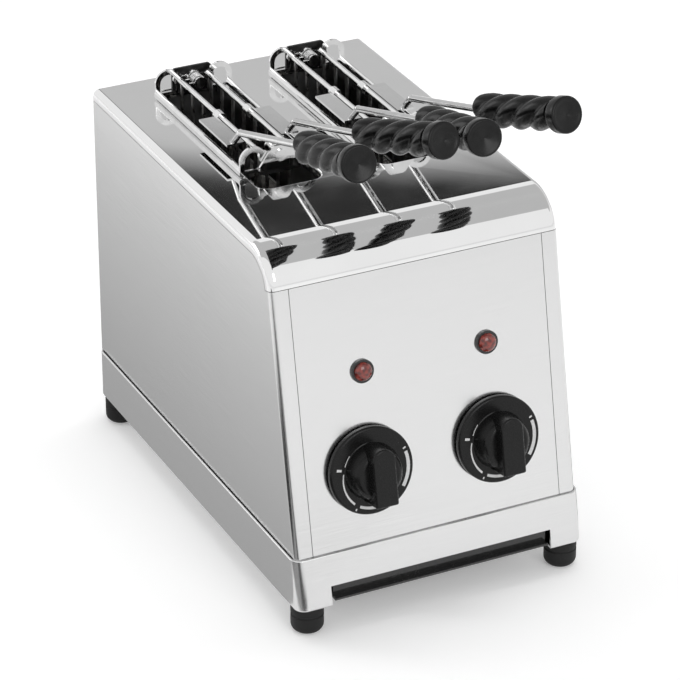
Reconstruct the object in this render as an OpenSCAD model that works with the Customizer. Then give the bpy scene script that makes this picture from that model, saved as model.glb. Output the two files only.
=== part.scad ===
// Upright two-slot sandwich toaster: a steel housing with quartz heaters, two timers
// and two lift-out spring tongs. Front at -Y, +Z up, origin on the worktop.

/* [Body] */
// Width across the two side panels
body_w = 216; // [212:1:230]
// Depth of the skirt at its foot, front to back
body_d = 348; // [340:1:370]
// Height of the top cover above the worktop
top_h = 268; // [262:1:285]
// Backward lean of the front, in degrees
front_lean = 11; // [9:0.5:13]
// Sheet thickness of the panels
sheet = 1.2; // [1:0.1:1.5]
// Gap left along the seams between panels
seam = 0.4; // [0.3:0.1:0.6]
// Outer radius of the side panels' front edge
edge_r = 4.5; // [3.5:0.5:5.5]
// Width of the side panels' folded front edge
front_fold = 13; // [11:0.5:14]
// Width of the side panels' folded rear edge
rear_fold = 14; // [12:1:18]

/* [Skirt and feet] */
// Height of the rubber feet
foot_h = 20; // [16:1:24]
// Diameter of a foot
foot_dia = 23; // [20:0.5:25]
// Distance of a foot's axis in from the skirt's faces
foot_inset = 12; // [12:0.5:16]
// Rounding under each foot
foot_round = 5.5; // [3:0.5:5.5]
// Height of the skirt
skirt_h = 37; // [34:1:42]
// How far the skirt stands out beyond the panels
skirt_proud = 2.2; // [2:0.1:2.6]
// Wall of the skirt
skirt_wall = 1.6; // [1.2:0.1:1.6]
// Radius of the skirt's upright corners
skirt_r = 8; // [6:0.5:10]
// Width of the skirt's inward flange
skirt_flange = 30; // [28:1:34]
// Height of the base plate above the skirt's foot
base_rise = 17; // [16:0.5:20]

/* [Top cover] */
// Radius of the first, wide bend of the cover
bend_wide_r = 32; // [28:1:36]
// Angle turned by the wide bend
bend_wide_a = 40; // [35:1:45]
// Length of the sloping flat between the two bends
bend_slope = 2; // [1:0.5:6]
// Radius of the second, tight bend of the cover
bend_tight_r = 24; // [20:1:26]
// Flat strip below the tight bend
cover_strip = 2; // [1.5:0.5:4]
// Radius of the cover's side edges
cover_edge_r = 5; // [4:0.5:6]
// Depth of the cover's side lips
cover_lip = 8; // [7:0.5:8.5]
// Distance between the two slots
slot_pitch = 90; // [88:1:94]
// Width of a slot
slot_w = 48; // [46:1:50]
// Length of a slot
slot_l = 181; // [172:1:184]
// Distance of the slots' rear ends in from the rear panel
slot_back = 22; // [21:0.5:25]
// Radius of a slot's corners
slot_r = 9; // [6:0.5:10]
// Depth of the collar folded down round a slot
slot_collar = 6; // [4:0.5:8]

/* [Crumb tray] */
// Width of the crumb tray
tray_w = 164; // [150:1:166]
// Height of the crumb tray
tray_h = 11; // [9:0.5:11]
// Depth of the crumb tray, front to back
tray_d = 290; // [270:1:300]
// Width of the skirt's tray notch
notch_w = 169; // [168:1:172]
// Height of the skirt's tray notch
notch_h = 14.5; // [14.5:0.5:15.5]
// Running gap round the tray
tray_gap = 0.4; // [0.3:0.1:0.6]

/* [Heaters] */
// Diameter of a quartz tube
tube_dia = 10; // [9:0.5:11]
// Distance of the quartz tubes from the slot's middle
tube_off = 35; // [34.5:0.5:36]
// Distance of the guard wires from the slot's middle
guard_off = 28; // [27.5:0.5:28.5]
// Distance of the outer reflectors from the slot's middle
reflector_off = 44; // [43:0.5:48]
// Height of the lowest quartz tube
tube_z = 140; // [135:1:150]
// Rise from one quartz tube to the next
tube_step = 35; // [30:1:38]
// Quartz tubes on each face
tube_count = 3; // [2:1:3]
// Diameter of a guard wire
guard_wire = 2; // [1.6:0.1:2.4]
// Upright guard wires on each face
guard_count = 8; // [5:1:10]
// Distance of the bulkheads beyond the slot's ends
bulkhead_gap = 2; // [1.5:0.5:3]

/* [Controls] */
// Distance of a knob's axis from the middle
knob_x = 48.5; // [44:0.5:52]
// Height of a knob's axis on the front
knob_z = 109; // [104:1:116]
// Diameter of a knob's dial
dial_dia = 62; // [56:1:68]
// Thickness of a knob's dial
dial_t = 5; // [5:0.5:8]
// Length of a knob's grip bar above the axis
bar_up = 21; // [19:0.5:24]
// Length of a knob's grip bar below the axis
bar_down = 20; // [18:0.5:26]
// Width of a knob's grip bar
bar_w = 17; // [14:0.5:20]
// Height of a knob's grip bar above the dial
bar_h = 21; // [18:0.5:24]
// Diameter of the round boss under the grip bar
boss_dia = 40; // [36:0.5:44]
// Height of the round boss above the dial
boss_h = 13; // [10:0.5:16]
// Diameter of a timer's shaft
shaft_dia = 6; // [5:0.5:6.5]
// Distance of an indicator from the middle
lamp_x = 47; // [42:0.5:52]
// Height of an indicator on the front
lamp_z = 177; // [170:1:184]
// Diameter of an indicator's lens
lens_dia = 13; // [11:0.5:15]

/* [Tongs] */
// Height of the tongs' pivot above the cover
pivot_rise = 13; // [12:0.5:15]
// Distance of a rod from the tong's middle
rod_x = 11.4; // [11:0.1:12]
// Diameter of a rod
rod_dia = 4; // [3.5:0.1:4.5]
// Distance of a rail from the tong's middle
rail_x = 27.5; // [27:0.5:29]
// Height of a rail's section
rail_h = 6; // [5.5:0.5:7]
// Width of a rail's section
rail_w = 4.5; // [4:0.5:5]
// Width of the band of an end arch
arch_band = 3.8; // [3:0.2:4.4]
// Height of an end arch's top above the pivot
arch_rise = 8.5; // [8:0.5:10]
// Distance of a tong's front end plate inside the slot
front_plate_in = 22; // [18:1:26]
// Distance of a tong's rear end plate inside the slot
rear_plate_in = 12; // [10:1:16]
// Thickness of the tongs' end plates
plate_t = 2; // [1.6:0.1:2.4]
// Diameter of a pivot rivet
rivet_dia = 5; // [4:0.5:5.5]
// Depth of the toasting grids below the pivot
grid_depth = 165; // [150:1:168]
// Wire diameter of the toasting grids
grid_wire = 2.5; // [2:0.1:2.6]
// Upright wires of a toasting grid
grid_count = 8; // [5:1:10]
// Length of a leaf plate
leaf_l = 47; // [44:1:52]
// Width of a leaf plate
leaf_w = 13; // [11:0.5:14]
// Length of a grip
grip_l = 96; // [90:1:100]
// Diameter of a grip over its lobes
grip_dia = 23.5; // [21.5:0.5:24]
// Diameter of a grip's end cap
cap_dia = 25; // [24:0.5:27]
// Upward tilt of a tong's left grip, in degrees
left_grip_tilt = 16.4; // [14:0.2:19]
// Upward tilt of a tong's right grip, in degrees
right_grip_tilt = 18.4; // [14:0.2:20]
// Outward splay of a tong's left grip, in degrees
left_grip_splay = 3.6; // [2:0.2:5]
// Outward splay of a tong's right grip, in degrees
right_grip_splay = 9.2; // [7:0.2:10]
// Distance of the grips' start ahead of the slot
grip_ahead = 63; // [57:0.5:65]
// Rise of the grips' start above the pivot
grip_lift = 45.5; // [42:0.5:48]
// Twisted lobes round a grip
grip_lobes = 3; // [3:1:4]
// Depth of the grooves between a grip's lobes
grip_groove = 2.6; // [2:0.2:3]
// Turn of the lobes along a grip, in degrees
grip_twist = 480; // [400:10:520]
// Wire diameter of a tong's spring
spring_wire = 1.2; // [1:0.1:1.3]
// Turns of a tong's spring
spring_turns = 4; // [3:1:4]

/* [Cable entry] */
// Bore of the cable gland
gland_bore = 8; // [6:0.5:9]
// Diameter of the gland's head
gland_dia = 20; // [18:0.5:22]
// Reach of the gland behind the rear panel
gland_out = 16; // [12:0.5:20]
// Distance of the gland in from the right side panel
gland_inset = 40; // [33:1:48]
// Height of the gland
gland_z = 76; // [72:1:84]

/* [Hidden] */
$fn = 64;
overlap = 0.01;
fit = 0.05;
clear = 0.3;
skirt_w = body_w + 2*skirt_proud;
rear_y = body_d/2 - skirt_proud;
inner_w = body_w - 2*sheet;
panel_z = foot_h + 8;
skirt_clear_z = foot_h + skirt_h + clear;
corner_relief = skirt_r/2;
front_low_z = foot_h + notch_h + 2*clear;
base_z = foot_h + base_rise;
base_t = 1.5;
base_top = base_z + base_t;
cover_under = top_h - sheet;

// Height on the body to the plane of the skirt's front, and to the front panel's outer face
function skirt_front(z) = -body_d/2 + (z - foot_h)*tan(front_lean);
function front_y(z) = skirt_front(z) + skirt_proud;

// The cover's two bends, tangent to the flat top and to the leaning front
wide_z = top_h - bend_wide_r;
tight_z = wide_z + (bend_wide_r - bend_tight_r)*cos(bend_wide_a) - bend_slope*sin(bend_wide_a);
bend_end_z = tight_z + bend_tight_r*sin(front_lean);
tight_y = front_y(bend_end_z) + bend_tight_r*cos(front_lean);
flat_front_y = tight_y + (bend_wide_r - bend_tight_r)*sin(bend_wide_a) + bend_slope*cos(bend_wide_a);
cover_seam_z = bend_end_z - cover_strip*cos(front_lean);
bend_steps = 10;
edge_steps = 5;
fold_steps = 8;
fold_back = 1;

slot_x = slot_pitch/2;
slot_rear_y = rear_y - slot_back;
slot_front_y = slot_rear_y - slot_l;
bulkhead_t = 1.5;
bulkhead_front_y = slot_front_y - bulkhead_gap;
bulkhead_rear_y = slot_rear_y + bulkhead_gap;
tube_over = 10;
tube_l = bulkhead_rear_y - bulkhead_front_y + 2*tube_over;
tube_mid_y = (slot_front_y + slot_rear_y)/2;
holder_side = tube_dia + 8;
holder_t = 8;
coil_dia = tube_dia - 4;
coil_tail = 5;
reflector_t = 0.8;
guard_low_z = tube_z - 14;
guard_high_z = tube_z + 2*tube_step + 14;

runner_t = 1.5;
runner_z = foot_h + skirt_wall;
ledge_w = 5;
tray_z = runner_z + runner_t + clear;
tray_t = 0.8;
tray_front_y = skirt_front(tray_z) + skirt_wall + 3;

screw_r = 1.75;
head_r = 3.5;
head_t = 2;
foot_bolt_r = 2;
foot_head_r = 4;
foot_recess = 9;

nut_t = 3;
nut_r = 8;
bush_r = 4.8;
bush_out = 5;
timer_side = 40;
timer_depth = 28;
shaft_in = 20;
dial_lift = 1.5;
knob_top = dial_lift + dial_t + bar_h;
hub_r = 6;
shaft_out = dial_lift + dial_t + 8;
lamp_body_r = lens_dia/2 - 0.8;
bezel_r = lens_dia/2 + 1.8;
bezel_t = 1.6;

pivot_z = top_h + pivot_rise;
lug_gap = 0.4;
lug_r = 5.5;
hub_rod_r = rod_dia/2 + 2;
rail_drop = pivot_rise - clear - rail_h/2;
arch_r = (rail_x - rod_x)/2;
arch_x = -(rod_x + rail_x)/2;
arch_z = arch_rise - arch_r - arch_band/2;
plate_front_y = slot_front_y + front_plate_in;
plate_rear_y = slot_rear_y - rear_plate_in;
plate_half_w = rod_x + hub_rod_r;
plate_top = lug_r + 1.7;
plate_r = 3;
chord_band = 2.4;
rivet_head_r = rivet_dia/2 + 1.8;
rivet_head_t = 1.2;
spring_pitch = spring_wire + 0.6;
spring_r = rivet_dia/2 + spring_wire/2 + 1;
spring_l = spring_pitch*spring_turns + spring_wire;
leg_reach = rod_x - rod_dia/2 - spring_wire/2 - clear;
grid_end = 8;
grid_span = plate_rear_y - plate_front_y - 2*grid_end;
grid_pitch = grid_span/(grid_count - 1);
hook_reach = 6;
ring_y = plate_front_y + grid_end + (floor((grid_count - 1)/2) + 0.5)*grid_pitch;
ring_l = 8;
leaf_t = 1.6;
leaf_in = rod_x + rod_dia/2 + 0.8;
leaf_mid = leaf_in + leaf_w/2;
tang_r = 2.5;
grip_sink = 14;
cap_l = 11;

gland_x = body_w/2 - gland_inset;
gland_nut_t = 5;
gland_in = 14;
block_w = 44;
block_d = 14;
block_h = 18;

// The bodies' overall reach front to back puts the origin in the middle of the whole
knob_reach = front_y(knob_z) - knob_top*cos(front_lean) - bar_down*sin(front_lean);
front_reach = min(knob_reach, grip_reach(-1), grip_reach(1));
rear_reach = rear_y + gland_out;
origin_y = (front_reach + rear_reach)/2;

// Common shapes

// Rounded rectangle, centred on x and reaching from y = 0 to y = d
module rounded_rect(w, d, r) {
  translate([-w/2 + r, 0]) square([w - 2*r, d]);
  translate([-w/2, r]) square([w, d - 2*r]);
  for (x = [-1, 1], y = [r, d - r]) translate([x*(w/2 - r), y]) circle(r);
}

// Local +Z out of the leaning front, local +Y up it, at a place given by x and z
module on_front(x, z) {
  translate([x, front_y(z), z]) rotate([90 - front_lean, 0, 0]) children();
}

// Local +Z towards the back
module facing_back(x, y, z) {
  translate([x, y, z]) rotate([-90, 0, 0]) children();
}

// Slice of the housing, set in by a distance from the skirt's outer faces
module body_block(set_in, z0, z1, r) {
  intersection() {
    translate([0, -body_d, z0])
      linear_extrude(z1 - z0) rounded_rect(skirt_w - 2*set_in, 1.5*body_d - set_in, r);
    translate([0, skirt_front(z0) + set_in, z0]) rotate([-front_lean, 0, 0])
      translate([0, 0, -skirt_h]) linear_extrude(body_d) rounded_rect(skirt_w - 2*set_in, 2*body_d, r);
  }
}

// Straight round bar from one point to another
module bar_between(from, to, r) {
  way = to - from;
  len = norm(way);
  translate(from) rotate([0, acos(way[2]/len), atan2(way[1], way[0])]) cylinder(r = r, h = len);
}

// Skirt, feet and base

module base_skirt() {
  color("silver") difference() {
    body_block(0, foot_h, foot_h + skirt_h, skirt_r);
    body_block(skirt_wall, foot_h + skirt_wall, foot_h + skirt_h + 1, skirt_r - skirt_wall);
    translate([0, skirt_front(foot_h) + skirt_flange, foot_h - 1])
      linear_extrude(skirt_wall + 2) rounded_rect(skirt_w - 2*skirt_flange, body_d - 2*skirt_flange, slot_r);
    translate([-notch_w/2, -body_d/2 - 1, foot_h - 1]) cube([notch_w, skirt_flange + 2, notch_h + 1]);
    at_feet() translate([0, 0, foot_h - 1]) cylinder(r = foot_bolt_r + clear, h = skirt_wall + 2);
  }
}

module at_feet() {
  for (x = [-1, 1], y = [skirt_front(foot_h) + foot_inset, body_d/2 - foot_inset])
    translate([x*(skirt_w/2 - foot_inset), y, 0]) children();
}

module rubber_feet() {
  color("#1c1c1c") at_feet() difference() {
    rotate_extrude() polygon(concat([[0, 0]],
      [for (a = [-90:15:0]) [foot_dia/2 - foot_round*(1 - cos(a)), foot_round*(1 + sin(a))]],
      [[foot_dia/2, foot_h], [0, foot_h]]));
    translate([0, 0, -1]) cylinder(r = foot_head_r + clear, h = foot_recess + 1);
    translate([0, 0, -1]) cylinder(r = foot_bolt_r + clear, h = foot_h + 2);
  }
}

module foot_bolts() {
  bolt_top = runner_z + 6;
  color("gray") at_feet() {
    translate([0, 0, foot_recess - head_t]) cylinder(r = foot_head_r, h = head_t);
    translate([0, 0, foot_recess - overlap]) cylinder(r = foot_bolt_r, h = bolt_top - foot_recess);
    translate([0, 0, runner_z]) cylinder(r = foot_head_r, h = 3, $fn = 6);
  }
}

module base_plate() {
  crumb_w = slot_pitch + slot_w + 10;
  color("darkgray") difference() {
    body_block(skirt_proud + sheet + clear, base_z, base_top, 2);
    translate([0, bulkhead_front_y + 4, base_z - 1])
      linear_extrude(base_t + 2) rounded_rect(crumb_w, bulkhead_rear_y - bulkhead_front_y - 8, slot_r);
    translate([gland_x, block_y(), base_z - 1]) {
      for (x = [-1, 1]) translate([x*block_w/4, 0, 0]) cylinder(r = screw_r, h = base_t + 2);
      translate([-2*block_w/3 - 8, 0, 0]) cylinder(r = foot_bolt_r + fit, h = base_t + 2);
    }
  }
}

function block_y() = (bulkhead_rear_y + bulkhead_t + rear_y - sheet)/2;

module tray_runners() {
  web_x = tray_w/2 + tray_gap;
  run_d = tray_d - 10;
  run_y = skirt_front(runner_z) + skirt_flange/2;
  color("gray") for (s = [0, 1]) mirror([s, 0, 0]) translate([web_x, run_y, runner_z]) {
    cube([runner_t, run_d, base_z - runner_z]);
    translate([-ledge_w, 0, 0]) cube([ledge_w + overlap, run_d, runner_t]);
  }
}

module crumb_tray() {
  lip_t = 2;
  color("#222222") translate([0, tray_front_y, tray_z]) {
    difference() {
      translate([-tray_w/2, 0, 0]) cube([tray_w, tray_d, tray_h]);
      translate([-tray_w/2 + tray_t, lip_t, tray_t]) cube([tray_w - 2*tray_t, tray_d - lip_t - tray_t, tray_h]);
    }
    translate([-tray_w/2, -4, 0]) cube([tray_w, 4 + overlap, 2]);
    translate([-tray_w/2, -4, 0]) rotate([0, 90, 0]) translate([-1, 0, 0]) cylinder(r = 1, h = tray_w);
  }
}

// Panels

// Points along the cover's outline, set in by k, from the rear to the front seam
function cover_path(k) = concat(
  [[rear_y, top_h - k]],
  [for (i = [0:bend_steps]) let (t = bend_wide_a*i/bend_steps)
    [flat_front_y - (bend_wide_r - k)*sin(t), wide_z + (bend_wide_r - k)*cos(t)]],
  [for (i = [0:bend_steps]) let (t = bend_wide_a + (90 - front_lean - bend_wide_a)*i/bend_steps)
    [tight_y - (bend_tight_r - k)*sin(t), tight_z + (bend_tight_r - k)*cos(t)]]);

// Place below the cover's seam, a depth behind the front's outer face
function below_seam(depth) = [
  front_y(cover_seam_z) + depth*cos(front_lean) - seam*sin(front_lean),
  cover_seam_z - depth*sin(front_lean) - seam*cos(front_lean)];

module side_outline() {
  side_front = edge_r + fold_back/2;
  polygon(concat(
    cover_path(cover_lip + seam),
    [below_seam(cover_lip + seam), below_seam(side_front)],
    [[front_y(panel_z) + side_front/cos(front_lean), panel_z]],
    [[rear_y - corner_relief, panel_z], [rear_y - corner_relief, skirt_clear_z], [rear_y, skirt_clear_z]]));
}

// Round of a side panel's front fold at a radius: x across the front, y into the body
function fold_arc(r) = [for (i = [0:fold_steps]) let (a = 90*i/fold_steps)
  [edge_r - r*sin(a), edge_r - r*cos(a)]];

// Section of a side panel's front fold, with a short stretch of the side behind it
module fold_section() {
  inner = fold_arc(edge_r - sheet);
  polygon(concat(
    [[front_fold, 0]],
    fold_arc(edge_r),
    [[0, edge_r + fold_back], [sheet, edge_r + fold_back]],
    [for (i = [fold_steps:-1:0]) inner[i]],
    [[front_fold, sheet]]));
}

module side_panel() {
  fold_l = (cover_seam_z - panel_z)/cos(front_lean) - 1.5*seam;
  fold_x = body_w/2 - sheet - rear_fold;
  difference() {
    union() {
      translate([-body_w/2, 0, 0]) rotate([90, 0, 90]) linear_extrude(sheet) side_outline();
      intersection() {
        translate([-body_w/2, front_y(panel_z), panel_z]) rotate([-front_lean, 0, 0])
          translate([0, 0, -10]) linear_extrude(fold_l + 10) fold_section();
        translate([-body_w, -body_d, panel_z]) cube([2*body_w, 2*body_d, top_h]);
      }
      translate([-body_w/2 + overlap, rear_y - 2*sheet - seam, skirt_clear_z])
        cube([sheet + rear_fold, sheet, top_h - cover_lip - seam - skirt_clear_z]);
    }
    for (z = rear_screw_z()) facing_back(-fold_x, rear_y - 4*sheet, z) cylinder(r = screw_r, h = 5*sheet);
  }
}

module left_side_panel() {
  color("lightgray") side_panel();
}

module right_side_panel() {
  color("lightgray") mirror([1, 0, 0]) side_panel();
}

function rear_screw_z() = [panel_z + skirt_h + 14, top_h - 60];

module at_rear_screws() {
  fold_x = body_w/2 - sheet - rear_fold;
  for (s = [-1, 1], z = rear_screw_z()) facing_back(s*fold_x, rear_y, z) children();
  for (s = [-1, 1]) facing_back(s*slot_x, rear_y, top_h - cover_lip) children();
}

// Half of the rear panel's outline, cut back in the skirt's corner and under the cover's edge
function rear_edge() =
  let (half = inner_w/2 - seam, top = cover_under - seam, crop = cover_edge_r/2)
  [[half - corner_relief, panel_z], [half - corner_relief, skirt_clear_z], [half, skirt_clear_z],
    [half, top - crop], [half - crop, top]];

module rear_panel() {
  vent_l = 60;
  edge = rear_edge();
  color("lightgray") difference() {
    translate([0, rear_y, 0]) rotate([90, 0, 0]) linear_extrude(sheet)
      polygon(concat(edge, [for (i = [len(edge) - 1:-1:0]) [-edge[i][0], edge[i][1]]]));
    at_rear_screws() translate([0, 0, -2*sheet]) cylinder(r = screw_r + 0.2, h = 3*sheet);
    facing_back(gland_x, rear_y - 2*sheet, gland_z) cylinder(r = gland_bore/2 + 2.5, h = 3*sheet);
    for (i = [0:5]) translate([-vent_l/2, rear_y - 2*sheet, top_h/2 + 10*i]) cube([vent_l, 3*sheet, 4]);
  }
}

module rear_screws() {
  color("silver") at_rear_screws() {
    cylinder(r = head_r, h = head_t);
    translate([0, 0, -4*sheet]) cylinder(r = screw_r - fit, h = 4*sheet + overlap);
  }
}

module front_panel() {
  panel_w = body_w - 2*front_fold - 2*seam;
  panel_l = (cover_seam_z - front_low_z)/cos(front_lean) - seam;
  return_d = 10;
  return_low = (base_top + clear + return_d*sin(front_lean) - front_low_z)/cos(front_lean);
  color("gainsboro") difference() {
    on_front(0, front_low_z) {
      translate([-panel_w/2, 0, -sheet]) cube([panel_w, panel_l, sheet]);
      for (s = [0, 1]) mirror([s, 0, 0])
        translate([panel_w/2 - sheet - seam, return_low, -return_d])
          cube([sheet, panel_l - return_low - sheet, return_d - sheet + overlap]);
    }
    for (s = [-1, 1]) {
      on_front(s*knob_x, knob_z) translate([0, 0, -2*sheet]) cylinder(r = bush_r + clear, h = 3*sheet);
      on_front(s*lamp_x, lamp_z) translate([0, 0, -2*sheet]) cylinder(r = lamp_body_r + clear, h = 3*sheet);
    }
  }
}

// Stations along the cover's skin from the rear to the front seam: place, then outward normal
function cover_stations() = concat(
  [[[rear_y, top_h], [0, 1]]],
  [for (i = [0:bend_steps]) let (t = bend_wide_a*i/bend_steps, n = [-sin(t), cos(t)])
    [[flat_front_y, wide_z] + bend_wide_r*n, n]],
  [for (i = [0:bend_steps])
    let (t = bend_wide_a + (90 - front_lean - bend_wide_a)*i/bend_steps, n = [-sin(t), cos(t)])
    [[tight_y, tight_z] + bend_tight_r*n, n]],
  [[[front_y(cover_seam_z), cover_seam_z], [-cos(front_lean), sin(front_lean)]]]);

// Half of the cover's section, from a lip's foot to the flat, at a depth below the skin:
// each point gives its distance from the body's middle and its height along the normal
function edge_points(depth) = concat(
  [[body_w/2 - depth, -cover_lip]],
  [for (i = [0:edge_steps]) let (a = 90*i/edge_steps, r = cover_edge_r - depth)
    [body_w/2 - cover_edge_r + r*cos(a), r*sin(a) - cover_edge_r]]);

function across(depth) = concat(
  [for (q = edge_points(depth)) [-q[0], q[1]]],
  [for (i = [edge_steps + 1:-1:0]) edge_points(depth)[i]]);

// Closed outline of the cover's section: its skin one way, its underside back again
function cover_outline() = let (outer = across(0), inner = across(sheet), last = len(outer) - 1)
  concat(outer, [for (i = [last:-1:0]) inner[i]]);

// The cover's sheet, its section carried along the stations
module cover_sheet() {
  stations = cover_stations();
  outline = cover_outline();
  sides = len(outline);
  rings = len(stations);
  half = sides/2;
  points = [for (st = stations, q = outline)
    [q[0], st[0][0] + q[1]*st[1][0], st[0][1] + q[1]*st[1][1]]];
  skin = [for (i = [0:rings - 2], k = [0:sides - 1])
    let (m = i*sides + k, n = i*sides + (k + 1)%sides) each [[m, n, n + sides], [m, n + sides, m + sides]]];
  ends = [for (e = [0, 1], k = [0:half - 2])
    let (
      base = e*(rings - 1)*sides,
      quad = [base + k, base + k + 1, base + sides - 2 - k, base + sides - 1 - k],
      turned = e == 1 ? quad : [quad[3], quad[2], quad[1], quad[0]])
    each [[turned[0], turned[1], turned[2]], [turned[0], turned[2], turned[3]]]];
  polyhedron(points, concat(skin, ends));
}

module top_cover() {
  lip_l = 2*cover_lip;
  color("whitesmoke") difference() {
    union() {
      cover_sheet();
      translate([-slot_pitch, rear_y - 2*sheet - seam, top_h - lip_l])
        cube([2*slot_pitch, sheet, lip_l - sheet + overlap]);
      for (s = [-1, 1]) translate([s*slot_x, slot_front_y - sheet, cover_under - slot_collar])
        linear_extrude(slot_collar + sheet/2) rounded_rect(slot_w + 2*sheet, slot_l + 2*sheet, slot_r + sheet);
    }
    for (s = [-1, 1]) {
      translate([s*slot_x, slot_front_y, cover_under - slot_collar - 1])
        linear_extrude(slot_collar + 4) rounded_rect(slot_w, slot_l, slot_r);
      facing_back(s*slot_x, rear_y - 4*sheet, top_h - cover_lip) cylinder(r = screw_r, h = 3*sheet);
    }
  }
}

// Heaters

// Offsets of the four heated faces from the body's middle, and which way each looks
FACES = [[-slot_x, -1], [-slot_x, 1], [slot_x, -1], [slot_x, 1]];

module at_tubes() {
  for (f = FACES, i = [0:tube_count - 1])
    facing_back(f[0] + f[1]*tube_off, tube_mid_y, tube_z + i*tube_step) children();
}

module quartz_tubes() {
  color("linen", 0.6) at_tubes() difference() {
    cylinder(r = tube_dia/2, h = tube_l, center = true);
    cylinder(r = tube_dia/2 - 1.2, h = tube_l + 2, center = true);
  }
}

module heater_coils() {
  color("peru") at_tubes() {
    cylinder(r = coil_dia/2, h = tube_l - 4, center = true);
    cylinder(r = 1, h = tube_l + 2*coil_tail, center = true);
  }
}

module ceramic_holders() {
  rim = bulkhead_rear_y - bulkhead_front_y;
  color("ivory") at_tubes() for (s = [0, 1]) mirror([0, 0, s])
    translate([0, 0, rim/2 + bulkhead_t]) difference() {
      translate([-tube_off/4, -holder_side/2, 0]) cube([tube_off/2, holder_side, holder_t]);
      translate([0, 0, -1]) cylinder(r = tube_dia/2 + fit, h = holder_t + 2);
    }
}

module bulkhead(y) {
  wide = inner_w - 2*seam;
  difference() {
    translate([-wide/2, y, base_top]) cube([wide, bulkhead_t, cover_under - base_top]);
    for (s = [-1, 1]) translate([s*(body_w/2 - cover_lip/2), y - 1, top_h - cover_lip - cover_edge_r])
      translate([-cover_lip, 0, 0]) cube([2*cover_lip, bulkhead_t + 2, 2*cover_lip]);
    at_tubes() cylinder(r = tube_dia/2 + clear, h = 2*tube_l, center = true);
  }
}

module front_bulkhead() {
  color("lightsteelblue") bulkhead(bulkhead_front_y - bulkhead_t);
}

module rear_bulkhead() {
  color("lightsteelblue") bulkhead(bulkhead_rear_y);
}

module reflector(x) {
  span = bulkhead_rear_y - bulkhead_front_y;
  translate([x - reflector_t/2, bulkhead_front_y, base_top])
    cube([reflector_t, span, cover_under - slot_collar - 2 - base_top]);
}

module outer_reflectors() {
  color("white") for (s = [-1, 1]) reflector(s*(slot_x + reflector_off));
}

module centre_reflector() {
  color("white") reflector(0);
}

module guard_grilles() {
  span = bulkhead_rear_y - bulkhead_front_y;
  pitch = slot_l/guard_count;
  color("gray") for (f = FACES) translate([f[0] + f[1]*guard_off, 0, 0]) {
    for (z = [guard_low_z, guard_high_z])
      facing_back(0, bulkhead_front_y, z) cylinder(r = guard_wire/2, h = span);
    for (i = [0:guard_count - 1])
      translate([0, slot_front_y + (i + 0.5)*pitch, guard_low_z])
        cylinder(r = guard_wire/2 - fit, h = guard_high_z - guard_low_z);
  }
}

// Controls

module at_knobs() {
  for (s = [-1, 1]) on_front(s*knob_x, knob_z) children();
}

module timers() {
  color("dimgray") at_knobs() difference() {
    union() {
      translate([-timer_side/2, -timer_side/2, -sheet - timer_depth]) cube([timer_side, timer_side, timer_depth]);
      translate([0, 0, -sheet - overlap]) cylinder(r = bush_r, h = sheet + bush_out);
    }
    translate([0, 0, -shaft_in - clear]) cylinder(r = shaft_dia/2 + fit, h = shaft_in + bush_out + 1);
  }
}

module timer_nuts() {
  color("silver") at_knobs() difference() {
    cylinder(r = nut_r, h = nut_t, $fn = 6);
    translate([0, 0, -1]) cylinder(r = bush_r + fit, h = nut_t + 2);
  }
}

module timer_shaft(side) {
  color("silver") on_front(side*knob_x, knob_z)
    translate([0, 0, -shaft_in]) cylinder(r = shaft_dia/2, h = shaft_in + shaft_out);
}

module left_timer_shaft() {
  timer_shaft(-1);
}

module right_timer_shaft() {
  timer_shaft(1);
}

module knob(side) {
  hollow_h = nut_t + 1;
  bevel = 1.5;
  color("#161616") on_front(side*knob_x, knob_z) difference() {
    union() {
      translate([0, 0, dial_lift]) rotate_extrude() polygon([
        [0, 0], [dial_dia/2, 0], [dial_dia/2, dial_t - bevel], [dial_dia/2 - bevel, dial_t], [0, dial_t]]);
      translate([0, 0, dial_lift + dial_t - overlap])
        cylinder(r1 = boss_dia/2, r2 = boss_dia/2 - 2, h = boss_h);
      translate([0, 0, dial_lift + dial_t - overlap]) linear_extrude(bar_h + overlap) {
        translate([0, bar_up - bar_w/2]) circle(bar_w/2);
        translate([-bar_w/2, -bar_down]) square([bar_w, bar_down + bar_up - bar_w/2]);
      }
    }
    translate([0, 0, dial_lift - 1]) cylinder(r = nut_r + 2, h = hollow_h + 1);
    translate([0, 0, dial_lift]) cylinder(r = shaft_dia/2 + fit, h = shaft_out - dial_lift + clear);
  }
}

module left_knob() {
  knob(-1);
}

module right_knob() {
  knob(1);
}

module at_lamps() {
  for (s = [-1, 1]) on_front(s*lamp_x, lamp_z) children();
}

module indicator_bezels() {
  color("#2a2a2a") at_lamps() difference() {
    cylinder(r = bezel_r, h = bezel_t);
    translate([0, 0, -1]) cylinder(r = lens_dia/2 + fit, h = bezel_t + 2);
  }
}

module indicator_lenses() {
  dome_h = 3.5;
  dome_r = (pow(lens_dia/2, 2) + pow(dome_h, 2))/(2*dome_h);
  color("firebrick") at_lamps() {
    cylinder(r = lens_dia/2, h = bezel_t + 0.6);
    translate([0, 0, bezel_t + 0.6 - overlap]) intersection() {
      translate([0, 0, dome_h - dome_r]) sphere(dome_r);
      cylinder(r = lens_dia/2, h = dome_h);
    }
  }
}

module lamp_holders() {
  lamp_l = 22;
  color("#333333") at_lamps() translate([0, 0, -lamp_l]) cylinder(r = lamp_body_r, h = lamp_l);
}

// Cable entry

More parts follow.
